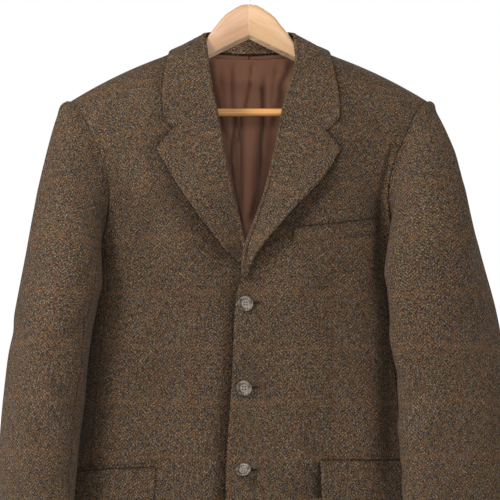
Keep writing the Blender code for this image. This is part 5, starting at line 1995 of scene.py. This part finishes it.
def bind_hole(name, start, end):
    """A ring of twist round a slit between two points of the front."""
    (x, z), (end_x, end_z) = start, end
    length = math.hypot(end_x - x, end_z - z)
    way = (end_x - x) / length, (end_z - z) / length
    path = []
    for index in range(64):
        angle = TURN * index / 64
        forward = length / 2 + (length / 2) * squared(math.cos(angle), 0.35)
        beside = HOLE_WIDTH / 2 * squared(math.sin(angle), 0.6)
        across = x + way[0] * forward - way[1] * beside
        path.append(laid_on(across, z + way[1] * forward + way[0] * beside, HOLE_LIFT))
    ring = tube(f"{name}_twist", path, TWIST_RADIUS, 8, True)
    add_piece(ring.name, ring, [BROWN_THREAD], "tweed")
    lens = bpy.data.meshes.new(f"{name}_slit")
    middle = sum(path, Vector()) / len(path)
    out = (path[16] - path[0]).cross(path[32] - path[0]).normalized()
    out = out if out.y < 0 else -out
    inner = [middle + (point - middle) * SLIT_SHARE for point in path]
    points = [point + out * 0.0002 for point in inner] + [point - out * 0.0006 for point in inner]
    count = len(inner)
    faces = [list(range(count)), list(range(2 * count - 1, count - 1, -1))]
    faces += [[i, (i + 1) % count, (i + 1) % count + count, i + count] for i in range(count)]
    lens.from_pydata([tuple(point) for point in points], [], faces)
    # the slit's lens carries the near black painted shade
    add_piece(lens.name, lens, [SLIT_PAINTED_SHADE], "tweed")


for number, (x, z, _) in enumerate(BUTTONS, 1):
    hole_ends = [(x + across, z + up) for across, up in (HOLE_START, HOLE_END)]
    bind_hole(f"buttonhole_{number}", *hole_ends)


# %% [markdown]
# ## The hanger
#
# Two contoured halves of pale varnished wood meet in a mitre at the middle; the underside
# is bevelled in front. Each half is swept from a table of its top and bottom edge.
# The grain runs along each arm, so its noise is stretched that way.

# %% Wood
def wood(name, angle, *colours):
    """Varnished wood whose grain lies at an angle about Y; its colours are dark, middle and pale."""
    timber = Finish(name, Coat_Weight=0.15, Coat_Roughness=0.3)
    slant = {"Vector": timber.place(), "Angle": angle}
    turned = timber.node("ShaderNodeVectorRotate", {"rotation_type": "Y_AXIS"}, slant)
    long = timber.stretch(turned, (14.0, 160.0, 160.0))
    fibre = timber.noise(long, 1.0, 6.0, Roughness=0.62)
    pore = timber.noise(timber.stretch(turned, (70.0, 1100.0, 1100.0)), 1.0, 3.0)
    cloud = timber.noise(turned, 18.0, 2.0)
    figure = fibre * 0.55 + pore * 0.15 + cloud * 0.3
    ramp = {"stops": tuple(zip((0.34, 0.5, 0.66), colours))}
    timber.feed("Base Color", timber.node("ShaderNodeValToRGB", ramp, {0: figure}))
    timber.feed("Roughness", pore * 0.12 + 0.34)
    timber.bump(pore * 0.5 + fibre * 0.5, 0.1, 0.0004)
    return timber.material


ARM_SLANT = 0.45
PINK_WOOD = wood(
    "pale_pink_wood", ARM_SLANT, (0.365, 0.196, 0.101), (0.435, 0.246, 0.132), (0.5, 0.298, 0.166)
)
YELLOW_WOOD = wood(
    "pale_yellow_wood", -ARM_SLANT, (0.415, 0.229, 0.102), (0.485, 0.287, 0.138), (0.54, 0.337, 0.172)
)
BAR_WOOD = wood("warm_bar_wood", 0.0, (0.46, 0.17, 0.036), (0.66, 0.3, 0.068), (0.72, 0.36, 0.1))
BEVEL_WOOD = wood(
    "bevel_end_grain", ARM_SLANT, (0.2, 0.12, 0.065), (0.36, 0.24, 0.14), (0.56, 0.41, 0.26)
)

# %% Table of the hanger
WOOD_HALF = 0.007
WOOD_CROWN = 0.005  # how far the rounded top edges reach in and down
WOOD_REST = 0.0007  # gap between the wood and the cloth that hangs on it
HANGER = (
    # x, top_z (0 where it follows the shoulder line), bottom_z
    (0.0, -0.068, -0.1127),
    (0.01, -0.0692, -0.1176),
    (0.02, -0.0746, -0.1225),
    (0.031, -0.0824, -0.1279),
    (0.042, -0.0955, -0.1333),
    (0.0506, -0.1064, -0.1375),
    (0.06, -0.1185, -0.142),
    (0.068, 0, -0.146),
    (0.08, 0, -0.1515),
    (0.1, 0, -0.159),
    (0.125, 0, -0.168),
    (0.15, 0, -0.179),
    (0.169, 0, -0.1885),
    (0.1697, 0, -0.2135),
    (0.178, 0, -0.2165),
    (0.186, 0, -0.216),
    (0.194, 0, -0.211),
    (0.1995, -0.18, -0.201),
)
BAR_Z = -0.2069
BAR_RADIUS = 0.005
BAR_HALF = 0.1687
BEVEL_HIGH = 0.006  # the front bevel on the underside
BEVEL_DEEP = 0.005
BEVEL_SIDES = 18, 20  # the first and last side of a section that the bevel has
MITRE_GAP = 0.00005  # half the gap between the two halves


# %% Hanger halves
def hanger_outline(top, bottom):
    """A section of an arm as (y, z) points, from the top over the back, under and up the front."""
    half = WOOD_HALF
    crown = [math.sin(angle) for angle in np.linspace(-math.pi / 2, math.pi / 2, 15)]
    outline = []
    for share in crown:
        drop = WOOD_CROWN * (1 - math.sqrt(max(0.0, 1 - abs(share) ** 2.4)))
        outline.append((share * half, top - drop))
    outline += [(half, bottom + 0.0016), (half - 0.0005, bottom + 0.0005), (half - 0.0016, bottom)]
    outline += [(-half + BEVEL_DEEP, bottom), (-half + BEVEL_DEEP * 0.5, bottom + BEVEL_HIGH * 0.5)]
    outline += [(-half + 0.0003, bottom + BEVEL_HIGH - 0.0004), (-half, bottom + BEVEL_HIGH + 0.0002)]
    return outline


def carve_half(side, name, finish):
    table = np.array([(x, top or ridge(x) - WALL - WOOD_REST, bottom) for x, top, bottom in HANGER])
    fine = thread_through(table, np.linspace(0, len(table) - 1, 8 * (len(table) - 1) + 1))
    rings = [
        [(side * (x + MITRE_GAP), y, z) for y, z in hanger_outline(top, bottom)]
        for x, top, bottom in fine
    ]
    mesh = ring_mesh(f"hanger_{name}_carved", rings)
    around = np.arange(len(mesh.polygons) - 2) % len(rings[0])
    first, last = BEVEL_SIDES
    bevel = np.append((around >= first) & (around <= last), (False, False))
    finishes = [finish, BEVEL_WOOD]
    add_piece(mesh.name, mesh, finishes, "varnished_wood", f"hanger_{name}", sharp=38)
    mesh.polygons.foreach_set("material_index", bevel.astype(np.int32))
    print(mesh.name, len(mesh.polygons), "faces")


carve_half(1, "left", YELLOW_WOOD)
carve_half(-1, "right", PINK_WOOD)

# %% [markdown]
# ## Bar and hook
#
# The bar is a dowel glued between the arms. The hook is plated wire bent round a former,
# with a rounded tip; its shank stands on the middle of the hanger.

# %% Bar
ends = np.linspace(-1, 1, 49)
bar_path = [(BAR_HALF * share, 0, BAR_Z) for share in ends]
bar_radii = BAR_RADIUS * (1 - 0.1 * smooth((np.abs(ends) - 0.985) / 0.015))
bar = tube("hanger_bar_turned", bar_path, bar_radii, 32)
add_piece(bar.name, bar, [BAR_WOOD], "varnished_wood", "hanger_bar")

# %% Plated wire
plate = Finish("plated_wire", Metallic=1.0, Roughness=0.24)
brushing = plate.noise(plate.place(), 400.0, 2.0)
plate.feed("Base Color", plate.grey(brushing * 0.12 + 0.62))
plate.feed("Roughness", brushing * 0.14 + 0.17)

# %% Table of the hook
SEAM = 0.0003  # gap between two sewn pieces
HOOK_WIRE = 0.0019  # radius
HOOK_LOOP = 0.019  # radius of the space inside the hook
HOOK_SHANK = 1.2  # loop radii from the loop's centre down to the straight shank
HOOK_START = math.radians(-48)  # where the loop begins, from +X
HOOK_SWEEP = math.radians(248)
HOOK_STEPS = 14
HOOK_BEND = 0.016  # pull of the bend between the shank and the loop


def hook_path():
    """Wire centres from the wood up the shank and round the crown to the open tip."""
    radius = HOOK_LOOP + HOOK_WIRE
    centre_z = -HOOK_LOOP
    shank_top = centre_z - radius * HOOK_SHANK
    points = [Vector((0, 0, mix(HANGER[0][1] + SEAM, shank_top, share))) for share in (0, 0.5, 1)]
    loop = []
    for step in range(HOOK_STEPS + 1):
        angle = HOOK_START + HOOK_SWEEP * step / HOOK_STEPS
        loop.append(Vector((radius * math.cos(angle), 0, centre_z + radius * math.sin(angle))))
    leave = UP * HOOK_BEND
    arrive = (loop[1] - loop[0]).normalized() * HOOK_BEND
    bend = [curve_between(points[-1], loop[0], leave, arrive, share) for share in (0.33, 0.67)]
    return points + bend + loop


# %% Hook
coarse_hook = np.array([tuple(point) for point in hook_path()])
hook_line = thread_through(coarse_hook, np.linspace(0, len(coarse_hook) - 1, 150))
hook_radii = np.full(len(hook_line), HOOK_WIRE)
hook_radii[-6:] *= np.sqrt(1 - (np.arange(6) / 5.4) ** 2)
hook = tube("hanger_hook_bent", hook_line, hook_radii, 20)
add_piece(hook.name, hook, [plate.material], "hook_wire", "hanger_hook", sharp=60)

# %% [markdown]
# ## Floor, light and camera
#
# A pale floor well below the hem, a white surround and six large soft lights make an even
# light all round. The camera is far off with a long lens, level with the chest.

# %% Floor
FLOOR_REACH = 6.0
FLOOR_Z = -1.02
floor_mesh = bpy.data.meshes.new("floor")
square = ((-1, -1), (1, -1), (1, 1), (-1, 1))
corners = [(x * FLOOR_REACH, y * FLOOR_REACH, FLOOR_Z) for x, y in square]
floor_mesh.from_pydata(corners, [], [(0, 1, 2, 3)])
floor = bpy.data.objects.new("floor", floor_mesh)
bpy.context.collection.objects.link(floor)
paper = Finish("pale_paper", Roughness=0.9)
fibres = paper.noise(paper.place(), 40.0, 3.0)
paper.feed("Base Color", paper.grey(fibres * 0.03 + 0.82))
floor_mesh.materials.append(paper.material)

# %% World
ROOM_LIGHT = 0.44  # strength of the white room as a light
BACKDROP = 1.0  # its strength where the camera sees it directly
world = bpy.data.worlds.new("white_room")
world.use_nodes = True
room = world.node_tree
seen = room.nodes.new("ShaderNodeLightPath")
strength = room.nodes.new("ShaderNodeMath")
strength.operation = "MULTIPLY_ADD"
strength.inputs[1].default_value = BACKDROP - ROOM_LIGHT
strength.inputs[2].default_value = ROOM_LIGHT
room.links.new(seen.outputs["Is Camera Ray"], strength.inputs[0])
room.links.new(strength.outputs[0], room.nodes["Background"].inputs["Strength"])
room.nodes["Background"].inputs["Color"].default_value = (1, 1, 1, 1)
bpy.context.scene.world = world
bpy.context.scene.view_settings.view_transform = "Standard"

# %% Lights
LIGHTS = (
    # name, place, aim, width, power
    ("key_light", (-1.8, -2.0, 1.5), (0.0, 0.0, -0.3), 0.8, 86.0),
    ("front_light", (0.1, -4.4, 0.2), (0.0, 0.0, -0.35), 1.0, 52.0),
    ("right_light", (2.7, -0.8, 0.2), (0.2, 0.0, -0.4), 0.8, 18.0),
    ("left_light", (-2.7, -0.7, 0.0), (-0.2, 0.0, -0.4), 0.8, 28.0),
    ("top_light", (0.0, -0.6, 2.2), (0.0, 0.0, -0.2), 1.2, 14.0),
    ("back_light", (0.8, 3.0, 1.0), (0.0, 0.0, -0.45), 1.6, 34.0),
)
for name, place, aim, width, power in LIGHTS:
    lamp = bpy.data.lights.new(name, "AREA")
    lamp.size = width
    lamp.energy = power
    light = bpy.data.objects.new(name, lamp)
    bpy.context.collection.objects.link(light)
    light.location = place
    light.rotation_mode = "QUATERNION"
    light.rotation_quaternion = (Vector(aim) - Vector(place)).to_track_quat("-Z", "Y")


# %% Camera
PIXEL = 0.00128  # metres across one of the frame's 500 pixels at the chest
CHEST_Y = -0.085
CAMERA_Y = -30.0
CENTRE = (0.0013, -0.3835)
lens_view = bpy.data.cameras.new("camera")
lens_view.sensor_width = 36.0
lens_view.lens = lens_view.sensor_width * (CHEST_Y - CAMERA_Y) / (500 * PIXEL)
camera = bpy.data.objects.new("camera", lens_view)
bpy.context.collection.objects.link(camera)
camera.location = (CENTRE[0], CAMERA_Y, CENTRE[1])
camera.rotation_euler = (math.pi / 2, 0, 0)
bpy.context.scene.camera = camera
print("lens:", round(lens_view.lens), "mm")
